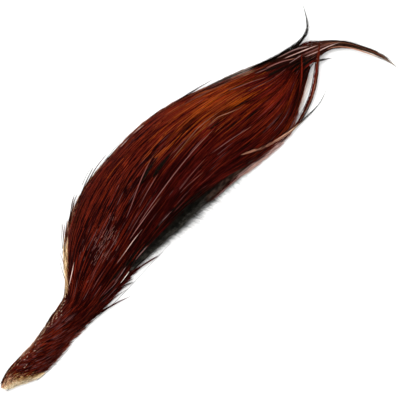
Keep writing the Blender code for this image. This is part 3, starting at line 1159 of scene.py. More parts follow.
@dataclass
class NeckFeathers(Layer):
    """Short feathers of the head and neck, which lie back and a little down."""

    seed: int = 31
    columns: int = 54
    per_column: int = 22
    first_x: float = -149.0
    last_x: float = -84.0
    shortest: float = 7.0
    growth: float = 21.0
    shown_at: float = 0.6

    def lay(self, draw: np.random.Generator) -> list[Plumage]:
        """Lay every column of feathers.

        Args:
            draw: The random source.

        Returns:
            The piece.
        """
        tones = ToneField(self.seed + 1, NECK_TONES, NECK_ZONES)
        bed = Plumage("neck_feathers")
        gap = (self.last_x - self.first_x) / (self.columns - 1)
        for number in range(self.columns * self.per_column):
            column, place = divmod(number, self.per_column)
            x = self.first_x + (column + draw.uniform(-0.5, 0.5)) * gap
            lane = (place + draw.uniform(0.0, 1.0)) / self.per_column
            way = np.clip(neck_way(x), 0, 1)
            length = (self.shortest + self.growth * way) * draw.uniform(0.8, 1.2)
            slant = draw.normal(-0.34, 0.09) * (1 - way) ** 0.5 * length / 13
            path = LanePath(x, length, lane - 0.3 * slant, drift=slant, bow=draw.normal(0, 0.4),
                            rise_power=draw.uniform(1.5, 2.4), lift=draw.uniform(-0.2, 0.8))
            line, up = path.lay(self.coat)
            tone = tones.pick(*line[int(self.shown_at * PATH_STEPS), :2])
            pattern = self.patterns.short[int(draw.integers(3))]
            bed.add(Feather(line, up, (0.65 + 0.4 * way) * draw.uniform(0.9, 1.5), pattern, tone,
                            roll=draw.normal(0, 0.25), twist=draw.normal(0, 0.25)))
        return [bed]


@dataclass
class UnderFeathers(Layer):
    """Feathers that lie on the table past the skin, the coat's underside."""

    seed: int = 41
    count: int = 120
    lanes: int = 24
    first_x: float = -92.0
    last_x: float = 34.0
    lengths: tuple = ((-92, 50), (-60, 80), (-20, 100), (34, 74))
    tones: tuple = (Tone.SOOT, Tone.DARK, Tone.WINE, Tone.MAHOGANY)

    def lay(self, draw: np.random.Generator) -> list[Plumage]:
        """Lay the feathers, each facing the table.

        Args:
            draw: The random source.

        Returns:
            The piece.
        """
        bed = Plumage("under_feathers")
        for number in range(self.count):
            x = draw.uniform(self.first_x, self.last_x)
            length = table_at(x, self.lengths) * draw.uniform(0.9, 1.05)
            lane = 0.09 + 0.80 * (number % self.lanes + draw.uniform(0, 1)) / self.lanes
            path = LanePath(x, length, lane, drift=draw.normal(0, 0.01), bow=draw.normal(0, 0.6))
            line, _ = path.lay(self.coat)
            line[:, 2] = 0.5 + draw.uniform(0, 0.5) + 0.3 * np.linspace(0, 1, PATH_STEPS)
            down = np.tile([0.0, 0.0, -1.0], (PATH_STEPS, 1))
            tone = self.tones[int(draw.integers(4))]
            pattern = self.patterns.middle[int(draw.integers(3))]
            bed.add(Feather(line, down, draw.uniform(3.5, 5.0), pattern, tone))
        return [bed]


class Shape(Enum):
    """How the vane of a hackle laid one by one runs out."""

    TAPERED = "tapered"
    SICKLE = "sickle"
    BLUNT = "blunt"
    LINE = "line"


@dataclass(frozen=True)
class Way:
    """A hackle laid one by one: its tone, width, places in x and y, with z if it stands clear, and shape."""

    tone: Tone
    width: float
    points: tuple
    shape: Shape = Shape.LINE


CLEAR_WAYS = (
    Way(Tone.BLACK, 2.7, ((84, 38.0, 4), (91, 35.6, 4), (99, 32.8, 3.8), (110, 29.9, 3.6),
                          (118, 28.7, 3.4), (124, 29.6, 3.4), (129, 33.8, 3.6),
                          (134.4, 43.6, 4)), Shape.SICKLE),
    Way(Tone.BLACK, 2.0, ((86, 37.2, 3.2), (96, 33.2, 3.2), (106, 30.3, 3), (114, 28.3, 3), (120, 28.6, 3),
                          (126, 30.8, 3.2), (132.2, 39.0, 3.6)), Shape.SICKLE),
    Way(Tone.BLACK, 1.9, ((100, 20.6, 6), (108, 18.6, 5), (114, 15.6, 3.4), (119, 12.4, 2),
                          (125.2, 8.2, 1.2)), Shape.SICKLE),
    Way(Tone.BLACK, 1.2, ((112, 16.4, 3.6), (117, 13.4, 2.6), (121, 10.9, 1.8),
                          (125, 8.3, 1.2)), Shape.SICKLE),
    Way(Tone.UMBER, 2.3, ((70, -6.4, 2.4), (84, -4.9, 2), (95, -1.4, 1.8), (101, 1.2, 2), (107, 5.0, 2.6),
                          (113, 9.8, 4.2), (118, 13.6, 5.8), (122, 17, 6.4),
                          (125.4, 20.0, 6.4)), Shape.BLUNT),
    Way(Tone.MAHOGANY, 1.5, ((66, -6.6, 2.0), (82, -5.4, 1.8), (95, -1.5, 1.7), (102, 1.8, 2.0),
                             (108, 5.6, 2.8), (114, 10.5, 4.3), (120, 15.2, 5.9), (128, 22.2, 6.2))),
    Way(Tone.DARK, 0.5, ((82, -4.2, 2.6), (94, -0.6, 2.6), (101, 2.6, 2.8), (107, 6.6, 3.4),
                         (113, 11.2, 5.0), (118, 15.0, 6.6), (123, 19.0, 7.2))),
    Way(Tone.SOOT, 0.35, ((86, -6.0, 3.0), (95, -2.9, 3.0), (102, 0.6, 3.2), (108, 4.6, 3.8),
                          (114, 9.6, 4.8), (119, 13.8, 6.0))),
    Way(Tone.UMBER, 1.0, ((74, -6.8, 1.6), (88, -5.0, 1.4), (99, -1.0, 1.4), (106.5, 3.2, 1.8),
                          (112.5, 7.8, 2.4), (117.5, 12.0, 3.2), (120.5, 14.8, 3.6)), Shape.BLUNT),
    Way(Tone.BUFF, 0.45, ((84, -5.4, 2.8), (95, -2.1, 2.8), (101.5, 0.8, 3.0), (108, 5.2, 3.6),
                          (113.4, 9.6, 4.6))),
    Way(Tone.RED_BROWN, 1.3, ((80, -0.4, 5.0), (88, 2.8, 5.6), (95, 6.2, 6.0), (101, 10.4, 6.8),
                              (106, 15.0, 8.2), (110, 19.2, 9), (113.4, 23.0, 9)), Shape.BLUNT),
    # Near-white barbs across the wedge under the crossing hackles: pale barbs, their brightness also painted
    # light over the shadow those hackles cast there
    Way(Tone.IVORY, 0.4, ((87, -1.6, 1.4), (93, 1.0, 1.2), (100, 4.4, 1.2), (107, 8.2, 1.2),
                          (112.5, 10.8, 1.6))),
    Way(Tone.IVORY, 0.4, ((88, -1.0, 1.2), (94, 1.8, 1.0), (101, 5.6, 1.0), (108, 9.4, 1.2))),
    Way(Tone.BLUSH_AND_HIGHLIGHT, 0.3, ((88, -0.4, 1.4), (94, 2.4, 1.2), (101, 6.4, 1.2), (109, 11.0, 1.4))),
    Way(Tone.IVORY, 0.4, ((89, 0.2, 1.2), (95, 3.0, 1.0), (102, 7.2, 1.0), (110, 11.6, 1.4))),
    Way(Tone.BUFF, 0.35, ((90, 1.4, 1.6), (96, 4.0, 1.4), (102, 7.6, 1.4), (108, 11.0, 1.8))),
    Way(Tone.SOOT, 0.6, ((99, 8.0, 6), (104, 11.0, 6), (109, 13.0, 5.4), (116, 14.0, 4.6))),
    Way(Tone.SOOT, 0.8, ((120, 25.0, 5), (129.6, 18.0, 4.4), (137.2, 9.6, 3.8), (142.6, -0.2, 3.2),
                         (146.6, -9.4, 2.6), (149.4, -18.6, 2.0)), Shape.SICKLE),
    Way(Tone.BRONZE, 1.4, ((130, 14.6, 3), (137, 7.4, 2.6), (142.4, -0.4, 2.2), (146.6, -10.4, 1.8),
                           (149, -24.4, 1.0)), Shape.SICKLE),
    Way(Tone.TAN, 0.8, ((124.6, 14.9, 4.0), (130.4, 12.1, 3.6), (135.8, 6.5, 3.4), (141.2, -2.8, 3.0),
                        (145.8, -12.6, 2.4))),
    Way(Tone.BUFF, 0.35, ((124, 18.8, 3.6), (130, 15.8, 3.2), (136, 10.2, 3.0), (140.8, 2.8, 2.6),
                          (145.0, -6.0, 2.0), (147.6, -13.6, 1.6))),
    Way(Tone.SOOT, 0.4, ((118, 13.6, 3.8), (124, 14.0, 3.4), (129, 12.2, 3.0), (134, 8.0, 2.8),
                         (138.4, 2.4, 2.4), (142.4, -5.0, 1.8), (147.0, -16.0, 1.2))),
    Way(Tone.DARK, 2.0, ((106, 28.6, 3.6), (112, 27.9, 3.4), (117, 26.6, 3.2), (121, 24.8, 2.8),
                         (126, 21.4, 2.4)), Shape.BLUNT),
    # The black and soot hackles here paint the shade of the hollow among the sweeping tips; the mahogany one
    # is a hackle of its own colour
    Way(Tone.BLACK, 1.6, ((100, 20.8, 8), (106, 20, 8.0), (112, 18.6, 6.8),
                          (118, 16.6, 5.4)), Shape.SICKLE),
    Way(Tone.MAHOGANY, 1.6, ((101, 15.6, 7), (107, 15.8, 6.6), (113, 15.2, 5.6),
                             (118, 14.2, 4.6)), Shape.SICKLE),
    Way(Tone.BLACK, 2.0, ((101, 18.4, 8), (107, 17.6, 7.2), (113, 16.6, 6.0),
                          (118, 15.8, 5.2)), Shape.SICKLE),
    Way(Tone.SOOT, 1.8, ((100, 23.2, 8), (106, 22, 7.6), (112, 20.6, 6.6),
                         (118, 18.6, 5.4)), Shape.SICKLE),
    # Light lines over the bundle of tips: painted highlights along the hackles, between dark lines
    Way(Tone.HAIR, 0.6, ((101, 30.9, 7.6), (107, 29.0, 6.8), (113, 26.8, 5.6), (120, 22.8, 4.2))),
    Way(Tone.SOOT, 0.6, ((102, 29.8, 7.6), (108, 27.6, 6.8), (114, 25.2, 5.6), (121, 21.4, 4.2))),
    Way(Tone.BLUSH_AND_HIGHLIGHT, 0.5, ((103.4, 28.0, 7.6), (110, 25.4, 6.6), (117, 22.6, 5.2), (124, 19.7, 3.8))),
    Way(Tone.SOOT, 0.6, ((104, 26.0, 8.0), (111, 23.9, 6.8), (118, 21.0, 5.2), (124, 18.6, 3.8))),
    Way(Tone.PALE_AND_GLINT, 0.6, ((92, 31.3, 9.4), (97, 29.4, 8.6), (102, 27.2, 8.2), (109, 23.2, 7.6))),
    Way(Tone.HAIR, 0.45, ((104, 23.8, 8.8), (108.4, 22.9, 8.6), (112.8, 22.2, 7.8))),
    Way(Tone.BLUSH_AND_HIGHLIGHT, 0.5, ((113, 20.2, 7.0), (120.5, 17.3, 5.0), (127, 15.2, 3.8), (136.6, 11.0, 3.2))),
    Way(Tone.PALE_AND_GLINT, 0.5, ((113, 22.0, 6.8), (120, 19.4, 4.8), (127, 16.8, 3.8), (133, 13.4, 3.2))),
    Way(Tone.SOOT, 0.5, ((113, 18.6, 6.8), (120, 16.2, 5.0), (127, 14.0, 3.8))),
    Way(Tone.BLACK, 1.1, ((72, -4.4, 2), (80, -5.4, 1.4), (90, -6, 1), (101, -5.6, 1),
                          (111, -2.0, 1)), Shape.TAPERED),
    Way(Tone.DARK, 1.5, ((-92, -2.4, 3.4), (-80, -4.4, 2), (-68, -7.2, 1.2),
                         (-57, -10.6, 0.8)), Shape.TAPERED),
    Way(Tone.DARK, 1.6, ((-68, 1.2, 3), (-53, -0.2, 2), (-40, -1.9, 1.4),
                         (-27, -4.8, 0.8)), Shape.TAPERED),
    Way(Tone.DARK, 0.7, ((-56, 0.2, 2.6), (-48, -0.8, 2.2), (-39, -2.4, 1.6), (-29, -4.8, 1.0))),
    Way(Tone.SOOT, 0.6, ((-66, -1.0, 2.6), (-61, -2.0, 2.2), (-56, -3.4, 1.6), (-51.4, -5.4, 1.0))),
    Way(Tone.DARK, 0.6, ((-64, 0.0, 2.6), (-59, -1.0, 2.2), (-54.4, -2.4, 1.6), (-50.4, -4.0, 1.0))),
    Way(Tone.DARK, 0.7, ((-84, -3.2, 2.6), (-75, -5.0, 2.2), (-67, -7.2, 1.6), (-58.5, -10.2, 1.0))),
    Way(Tone.DARK, 1.3, ((-74, -1.6, 2.4), (-66, -2.4, 1.8), (-58, -3.6, 1.2),
                         (-50.5, -5.8, 0.8)), Shape.TAPERED),
    Way(Tone.WINE, 1.2, ((-70, -0.4, 2.6), (-60, -1.6, 1.6), (-49.5, -3.8, 0.8)), Shape.TAPERED),
    Way(Tone.DARK, 1.2, ((-82, -3.2, 2.4), (-72, -3.8, 1.6), (-63, -4.6, 1.0),
                         (-55, -6.2, 0.8)), Shape.TAPERED),
    Way(Tone.WINE, 1.3, ((-62, 0.8, 2.6), (-52, 0.0, 1.8), (-44, -1.0, 1.0)), Shape.TAPERED),
    Way(Tone.UMBER, 0.3, ((-80, 22.0, 2.6), (-76, 27.4, 2.2), (-73, 32.4, 1.6), (-70, 39.0, 1.2))),
    Way(Tone.BRONZE, 0.3, ((-78, 24.0, 2.6), (-74, 29.2, 2.2), (-71, 33.8, 1.6), (-68.2, 39.0, 1.2))),
    Way(Tone.DARK, 0.5, ((-72, 31.0, 2.8), (-67, 37.4, 2.4), (-62, 43.4, 1.6), (-57.0, 50.0, 1.2))),
    Way(Tone.UMBER, 0.4, ((-70, 32.0, 2.8), (-65, 38.4, 2.4), (-60.6, 43.6, 1.6), (-56.6, 48.4, 1.2))),
    Way(Tone.DARK, 0.5, ((-68, 34.6, 2.8), (-63, 40.0, 2.4), (-58.6, 44.6, 1.6), (-53.6, 49.0, 1.2))),
    Way(Tone.DARK, 0.5, ((-58, 43.8, 2.8), (-52, 48.4, 2.2), (-46.6, 52.4, 1.6), (-40.6, 56.4, 1.2))),
    Way(Tone.SOOT, 0.5, ((-56, 45.0, 2.8), (-49, 49.8, 2.2), (-44.0, 53.2, 1.6), (-38.6, 55.4, 1.2))),
    Way(Tone.SOOT, 0.5, ((-44, 50.8, 2.8), (-36, 54.4, 2.2), (-29, 57.4, 1.6), (-20, 60.6, 1.2))),
    Way(Tone.DARK, 0.5, ((-36, 53.6, 2.8), (-27, 56.8, 2.2), (-19, 59.0, 1.6), (-9, 60.2, 1.2))),
    Way(Tone.SOOT, 0.8, ((24, 56.2, 3), (38, 54.0, 2.4), (52, 51.2, 1.8), (60, 49.5, 1.6),
                         (67, 48.0, 1.4)), Shape.TAPERED),
    Way(Tone.SOOT, 0.8, ((40, 54.3, 2.4), (50, 52.0, 2.0), (60, 49.5, 1.8),
                         (67.4, 47.8, 1.4)), Shape.SICKLE),
    Way(Tone.TAN, 2.4, ((46, 4.7, 11.4), (49.6, 3.0, 10.2), (54, 0.9, 8.6), (60, -1.5, 6.6),
                        (66, -3.2, 5.0), (72, -4.7, 4.0), (78, -5.8, 3.2), (87, -6.3, 2.0)), Shape.SICKLE),
    Way(Tone.DARK, 0.7, ((48, 2.6, 8.8), (54, -0.4, 7.6), (60, -2.9, 5.6), (66, -4.5, 4.0),
                         (73, -6.0, 3.0))),
    Way(Tone.SOOT, 0.8, ((50, 4.0, 9.6), (56, 0.9, 8.0), (63, -1.3, 6.0), (70, -3.2, 4.6),
                         (78, -4.4, 3.4))),
    Way(Tone.HAIR, 0.5, ((14, -2.6, 1.6), (26, -3.4, 1.4), (38, -4.0, 1.2), (47, -5.0, 1.0))),
    Way(Tone.TAN, 0.4, ((24, -3.4, 1.6), (36, -4.4, 1.4), (48, -5.4, 1.2), (58, -6.6, 1.0))),
    Way(Tone.HAIR, 0.7, ((126, 20, 2.4), (132, 15.4, 2), (137, 10.8, 1.6),
                         (141.6, 6.0, 1.2)), Shape.TAPERED),
)

COAT_WAYS = (
    Way(Tone.BRONZE, 2.4, ((54, 48.0), (64, 44.2), (72, 41.0), (80, 37.8), (88, 34.4)), Shape.BLUNT),
    # Painted grey sheen along the black hackles of the outer edge
    Way(Tone.SMOKE, 1.0, ((58, 48.4), (66, 45.6), (74, 42.6), (82, 39.4), (90, 36.4),
                          (96, 34.2)), Shape.BLUNT),
    Way(Tone.SMOKE, 1.3, ((60, 47.0), (67, 44.3), (75, 41.3), (83, 38.0), (91, 35.0)), Shape.BLUNT),
    Way(Tone.UMBER, 1.0, ((66, 43.2), (74, 40.2), (82, 36.8), (90, 33.8), (97, 31.4)), Shape.BLUNT),
    Way(Tone.SOOT, 0.5, ((68, 44.3), (75, 41.7), (83, 38.6), (91, 35.4)), Shape.TAPERED),
    Way(Tone.BLACK, 2.2, ((84, 36.6), (92, 33.4), (101, 30.6), (110, 28.8), (118, 27.4)), Shape.BLUNT),
    Way(Tone.SOOT, 3.0, ((82, 35.2), (90, 32.0), (99, 28.4), (109, 24.8)), Shape.BLUNT),
    Way(Tone.SOOT, 2.2, ((88, 31.2), (95, 28.4), (102, 25.6), (110, 22.6)), Shape.BLUNT),
    Way(Tone.SOOT, 2.2, ((88, 28.0), (94, 26.0), (101, 23.6), (109, 20.6)), Shape.BLUNT),
    Way(Tone.SOOT, 1.1, ((-66, 33.6), (-58, 39.4), (-50, 44.0), (-42, 47.8), (-34, 50.8),
                         (-26, 52.6)), Shape.TAPERED),
    Way(Tone.SOOT, 2.0, ((-76, 1.6), (-68, 0.6), (-60, 0.8), (-52, 1.8)), Shape.TAPERED),
    Way(Tone.SOOT, 1.6, ((-66, 4.0), (-58, 4.4), (-50, 5.4), (-40, 7.6)), Shape.TAPERED),
    Way(Tone.BLACK, 2.2, ((-54, 3.2), (-46, 4.8), (-38, 6.2), (-28, 7.4)), Shape.TAPERED),
    Way(Tone.BLACK, 2.4, ((-50, 1.8), (-42, 3.6), (-34, 5.0), (-24, 6.0)), Shape.TAPERED),
    Way(Tone.RED_BROWN, 0.9, ((-56, 2.4), (-46, 3.8), (-36, 5.6), (-27, 6.6)), Shape.TAPERED),
    Way(Tone.IVORY, 0.4, ((-58, -0.4), (-54, 0.1), (-49, 1.0))),
    Way(Tone.HAIR, 0.5, ((-60, 2.2), (-54, 3.0), (-49, 4.3))),
    Way(Tone.HAIR, 0.5, ((-43, 3.4), (-37, 3.9), (-31, 4.4))),
    # Short painted glints near the cut edge
    Way(Tone.DUSK_AND_GLINT, 0.5, ((-74, -0.6), (-68, -1.0), (-61, -0.8))),
    Way(Tone.DUSK_AND_GLINT, 0.4, ((-70, 1.6), (-64, 1.4), (-57, 1.9))),
    # Light streaks: painted highlights along glossy shafts
    Way(Tone.PALE_AND_GLINT, 0.5, ((-38, 13.6), (-27, 16.0), (-14, 18.2), (-4, 19.6))),
    Way(Tone.PALE_AND_GLINT, 0.5, ((-29, 16.4), (-14, 19.6), (0, 22.1), (14, 24.3), (28, 25.8), (46, 26.7))),
    Way(Tone.BLUSH_AND_HIGHLIGHT, 0.35, ((-51, 9.4), (-42, 10.9), (-34, 12.4), (-26, 13.4))),
    # Two short painted highlights on the outer edge
    Way(Tone.BLUSH_AND_HIGHLIGHT, 0.35, ((-2, 57.3), (2, 57.6), (6, 57.7))),
    Way(Tone.BLUSH_AND_HIGHLIGHT, 0.35, ((9, 57.7), (13, 57.6), (17, 57.2))),
    Way(Tone.SOOT, 1.5, ((-24, 6.2), (-12, 5.6), (2, 5.2), (16, 4.4), (30, 2.4)), Shape.TAPERED),
    Way(Tone.BLACK, 1.4, ((-12, 6.8), (2, 6.6), (14, 5.6), (28, 3.8)), Shape.TAPERED),
    Way(Tone.DARK, 1.2, ((4, 4.4), (16, 3.2), (28, 1.6), (38, 0.2)), Shape.TAPERED),
    # Rose lines: painted glints along the hackles
    Way(Tone.ROSE_AND_GLINT, 0.6, ((-32, 23), (-23, 26.8), (-16, 30.3), (-6.9, 34.6), (2, 38), (12, 41))),
    Way(Tone.ROSE_AND_GLINT, 0.5, ((-20, 23.4), (-8, 27.4), (4, 30.6))),
    Way(Tone.BUFF, 0.45, ((13, 30.6), (22, 31.6), (30, 32.6), (40, 33.6), (48, 32.6), (55, 31.6))),
    Way(Tone.BUFF, 0.5, ((43, 30.4), (51, 30.2), (57, 27.8), (66, 24.2))),
    Way(Tone.GOLD, 0.8, ((14, 30.4), (24, 31.4), (36, 31.4), (48, 30.0), (58, 26.6)), Shape.TAPERED),
    Way(Tone.GINGER, 1.6, ((44, 33.0), (54, 31.0), (64, 29.4), (77, 25.8)), Shape.TAPERED),
    Way(Tone.GINGER, 2.4, ((46, 31.2), (56, 29.0), (68, 27.4), (82, 24)), Shape.TAPERED),
    Way(Tone.GINGER, 2.2, ((14, 39.8), (28, 41.2), (44, 41), (58, 38.6), (72, 34.4)), Shape.TAPERED),
    Way(Tone.AMBER, 1.0, ((22, 40.2), (32, 40.8), (42, 40.2), (52, 38.2), (60, 35.8)), Shape.TAPERED),
    Way(Tone.AMBER, 0.9, ((26, 41.8), (36, 42.0), (46, 40.8), (56, 38.4)), Shape.TAPERED),
    Way(Tone.RUST, 2.2, ((18, 37.8), (32, 39), (48, 38.6), (62, 36), (76, 31.6)), Shape.TAPERED),
    Way(Tone.RED_BROWN, 1.2, ((22, 28.4), (33, 29.4), (45, 30.8), (54.5, 33.4)), Shape.TAPERED),
    Way(Tone.SOOT, 0.8, ((18, 36.4), (32, 37.3), (46, 36.8), (60, 34.2)), Shape.TAPERED),
    Way(Tone.DARK, 1.2, ((20, 34.6), (32, 35.4), (46, 35.0), (58, 32.6)), Shape.TAPERED),
    Way(Tone.SOOT, 0.9, ((50, 31.6), (60, 28.6), (74, 23.8), (92, 20.4)), Shape.TAPERED),
    Way(Tone.SOOT, 1.3, ((42, 28.2), (48, 27.6), (57, 25.6)), Shape.TAPERED),
    # Soot strips paint the shade in two gaps between the hackles
    Way(Tone.SOOT, 1.6, ((48, 20.8), (55, 20.6), (64, 19.6)), Shape.TAPERED),
    Way(Tone.SOOT, 1.3, ((61, 17.4), (68, 17.0), (77, 15.9)), Shape.TAPERED),
    # Black strips paint the shade in two gaps between the hackles
    Way(Tone.BLACK, 2.6, ((-11, 32.6), (-4, 34.8), (3, 36.4), (11, 37.8)), Shape.TAPERED),
    Way(Tone.BLACK, 2.6, ((-1, 30.8), (5, 32.3), (11, 33.2), (20, 34.2)), Shape.TAPERED),
    Way(Tone.BLACK, 2.0, ((-24, 7.2), (-14, 8.4), (-4, 8.8), (4, 8.6)), Shape.TAPERED),
    # Pale, rose and grey-pink lines: painted glints along the hackles
    Way(Tone.PALE_AND_GLINT, 0.3, ((66, 37.4), (74, 34.0), (81, 31.0), (88, 27.6))),
    Way(Tone.PALE_AND_GLINT, 0.35, ((84, 33.9), (91, 31.2), (98, 28.6))),
    Way(Tone.PALE_AND_GLINT, 0.35, ((34, 17.4), (42, 16.2), (50, 14.9), (62, 12.4))),
    Way(Tone.ROSE_AND_GLINT, 0.35, ((6, 15.6), (18, 16.8), (30, 17.6))),
    Way(Tone.ROSE_AND_GLINT, 0.35, ((4, 13.4), (14, 13.4), (24, 12.6))),
    Way(Tone.ROSE_AND_GLINT, 0.6, ((-41, 3.2), (-36, 3.8), (-30, 4.4))),
    Way(Tone.DUSK_AND_GLINT, 0.4, ((-20, 7.8), (-13, 8.8), (-6, 9.2))),
    Way(Tone.DUSK_AND_GLINT, 0.5, ((-60, 2.6), (-54, 3.2), (-48, 4.4))),
    # Painted highlight along the flare
    Way(Tone.BLUSH_AND_HIGHLIGHT, 0.6, ((-82.4, 18.2), (-78.0, 20.9), (-73, 24.2), (-68.2, 27.4))),
)


@dataclass
class SingleHackles(Layer):
    """Hackles laid one by one: those that stand clear, the sweeping tips, and marked ones on the coat."""

    seed: int = 51
    marked_lift: float = 1.25
    root_sink: float = 1.4
    root_places: int = 4
    sweeps: int = 30
    inner: tuple = ((106, 15.4), (116.4, 14.6), (122.1, 14.7), (127.1, 13.9), (130.7, 11.8), (135, 7.6),
                    (138.8, 2.8), (142.2, -3), (145.5, -9.8), (148.8, -23.5))
    outer: tuple = ((106, 29.6), (119.3, 25.2), (125, 21.3), (130.7, 17.0), (136.2, 11.6), (139.4, 7.2),
                    (142.4, 1.9), (145.4, -3.9), (147.8, -10.3), (149.8, -18.6))
    sweep_roots: tuple = (54.0, 72.0, 90.0)
    sweep_heights: tuple = ((54, 7), (72, 8), (92, 7.2), (108, 5.2), (122, 2.3), (140, 1.0), (148, 0.6))
    sweep_clear_from: float = 97.0
    sweep_depth: float = 1.6
    sweep_tones: tuple = ((0.12, Tone.BRONZE), (0.36, Tone.ARC_TAN), (0.46, Tone.BRONZE),
                          (0.60, Tone.ARC_TAN), (0.88, Tone.BRONZE), (0.97, Tone.ARC_DARK),
                          (1.01, Tone.BLACK))
    odd_tones: tuple = (Tone.DARK, Tone.BRONZE, Tone.SOOT)
    odd_share: float = 0.12

    def pattern(self, shape: Shape, draw: np.random.Generator) -> tuple[np.ndarray, np.ndarray]:
        """Choose a pattern.

        Args:
            shape: The shape that it has.
            draw: The random source.

        Returns:
            The pattern's vertices and faces.
        """
        if shape is Shape.LINE:
            return self.patterns.line
        choices = {Shape.SICKLE: self.patterns.sickle, Shape.BLUNT: self.patterns.blunt}.get(
            shape, self.patterns.long)
        return choices[int(draw.integers(len(choices)))]

    def sweep(self, share: float, reach: float, draw: np.random.Generator) -> np.ndarray:
        """Lay one hackle of the long sweeping tips.

        Args:
            share: Its place in the sweep, from the inner side, 0, to the outer, 1.
            reach: How much of the sweep it covers.
            draw: The random source.

        Returns:
            Places in x, y and z.
        """
        arc = (1 - share) * np.array(self.inner, float) + share * np.array(self.outer, float)
        arc[:, 1] += draw.normal(0, 0.2, len(arc))
        x = np.array(self.sweep_roots)
        start = np.column_stack([x, self.coat.lane_y(np.full(len(x), 0.30 + 0.55 * share), x)])
        plan = smooth_line(np.vstack([start, arc]))
        plan = plan[:int(len(plan) * reach)]
        line = even_line(plan, PATH_STEPS + 6)
        height = table_at(line[:, 0], self.sweep_heights)
        height += draw.uniform(-0.4, 0.6)
        covered = self.coat.top(line[:, 0], line[:, 1]) - self.sweep_depth
        height = np.where(line[:, 0] < self.sweep_clear_from, np.minimum(height, covered), height)
        return np.column_stack([line, np.maximum(height, 0.6)])

    def sweep_tone(self, share: float, draw: np.random.Generator) -> Tone:
        """Choose the tone of a sweeping tip.

        Args:
            share: Its place in the sweep, from the inner side, 0, to the outer, 1.
            draw: The random source.

        Returns:
            The tone.
        """
        if draw.uniform() < self.odd_share:
            return self.odd_tones[int(draw.integers(3))]
        return next(tone for end, tone in self.sweep_tones if share < end)

    def lay(self, draw: np.random.Generator) -> list[Plumage]:
        """Lay the clear hackles, the sweeping tips and the marked hackles.

        Args:
            draw: The random source.

        Returns:
            One piece for each of the three.
        """
        clear = Plumage("clear_hackles")
        for way in CLEAR_WAYS:
            line = even_line(smooth_line(way.points), PATH_STEPS)
            clear.add(Feather(line, np.tile(UPWARDS, (len(line), 1)), way.width,
                              self.pattern(way.shape, draw), way.tone, roll=draw.normal(0, 0.1)))
        sweep = Plumage("sweeping_tips")
        for number in range(self.sweeps):
            share = (number + 0.5) / self.sweeps
            line = self.sweep(share, draw.uniform(0.86, 1.0), draw)
            pattern = self.pattern(Shape.TAPERED, draw)
            sweep.add(Feather(line, np.tile(UPWARDS, (len(line), 1)), draw.uniform(1.4, 2.2), pattern,
                              self.sweep_tone(share, draw), roll=draw.normal(0, 0.3)))
        marked = Plumage("marked_hackles")
        for way in COAT_WAYS:
            plan = even_line(smooth_line(way.points), PATH_STEPS)
            height = self.coat.top(plan[:, 0], plan[:, 1]) + self.marked_lift
            height[:self.root_places] -= np.linspace(self.root_sink, 0.0, self.root_places)
            marked.add(Feather(np.column_stack([plan, height]), self.coat.up(plan[:, 0], plan[:, 1]),
                               way.width, self.pattern(way.shape, draw), way.tone))
        return [clear, sweep, marked]


# Fine lines: near-black ones paint the shade between hackles, greyish ones painted glints
LINE_TONES = {Tone.GAP_SHADE: 0.56, Tone.EMBER: 0.38, Tone.GREY_GLINT: 0.06}
LINE_ZONES = (
    Zone(-56, 18, 16, 11, {Tone.GAP_SHADE: 0.66, Tone.GREY_GLINT: 0.10, Tone.EMBER: 0.24}),
    Zone(-20, 26, 26, 8, {Tone.GAP_SHADE: 0.72, Tone.GREY_GLINT: 0.08, Tone.EMBER: 0.20}),
    Zone(-12, 12, 34, 5, {Tone.GAP_SHADE: 0.50, Tone.DARK: 0.36, Tone.EMBER: 0.08, Tone.GREY_GLINT: 0.06}),
    Zone(22, 18, 34, 7, {Tone.GAP_SHADE: 0.22, Tone.DARK: 0.50, Tone.WINE: 0.20, Tone.EMBER: 0.08}),
    Zone(4, 5, 44, 3, {Tone.GAP_SHADE: 0.84, Tone.EMBER: 0.10, Tone.GREY_GLINT: 0.06}),
    Zone(-34, 42, 20, 8, {Tone.GAP_SHADE: 0.54, Tone.EMBER: 0.46}),
    Zone(46, 37, 30, 6, {Tone.DARK: 0.14, Tone.EMBER: 0.36, Tone.AMBER: 0.50}),
    Zone(66, 30, 13, 4.6, {Tone.DARK: 0.30, Tone.EMBER: 0.40, Tone.AMBER: 0.30}),
    Zone(95, 28, 9, 6, {Tone.GAP_SHADE: 0.40, Tone.DARK: 0.46, Tone.GREY_GLINT: 0.14}),
    Zone(60, 46, 16, 4, {Tone.BUFF: 0.25, Tone.ROSE_AND_GLINT: 0.20, Tone.AMBER: 0.35, Tone.DARK: 0.20}),
    Zone(0, 52, 60, 6, {Tone.DARK: 0.34, Tone.GAP_SHADE: 0.34, Tone.EMBER: 0.28, Tone.AMBER: 0.04}),
    Zone(24, 48, 14, 5, {Tone.EMBER: 0.64, Tone.AMBER: 0.16, Tone.DARK: 0.20}),
    Zone(4, 25, 13, 5, {Tone.GAP_SHADE: 0.80, Tone.DARK: 0.20}),
    Zone(-32, 14, 10, 4, {Tone.GAP_SHADE: 0.80, Tone.DARK: 0.20}),
)


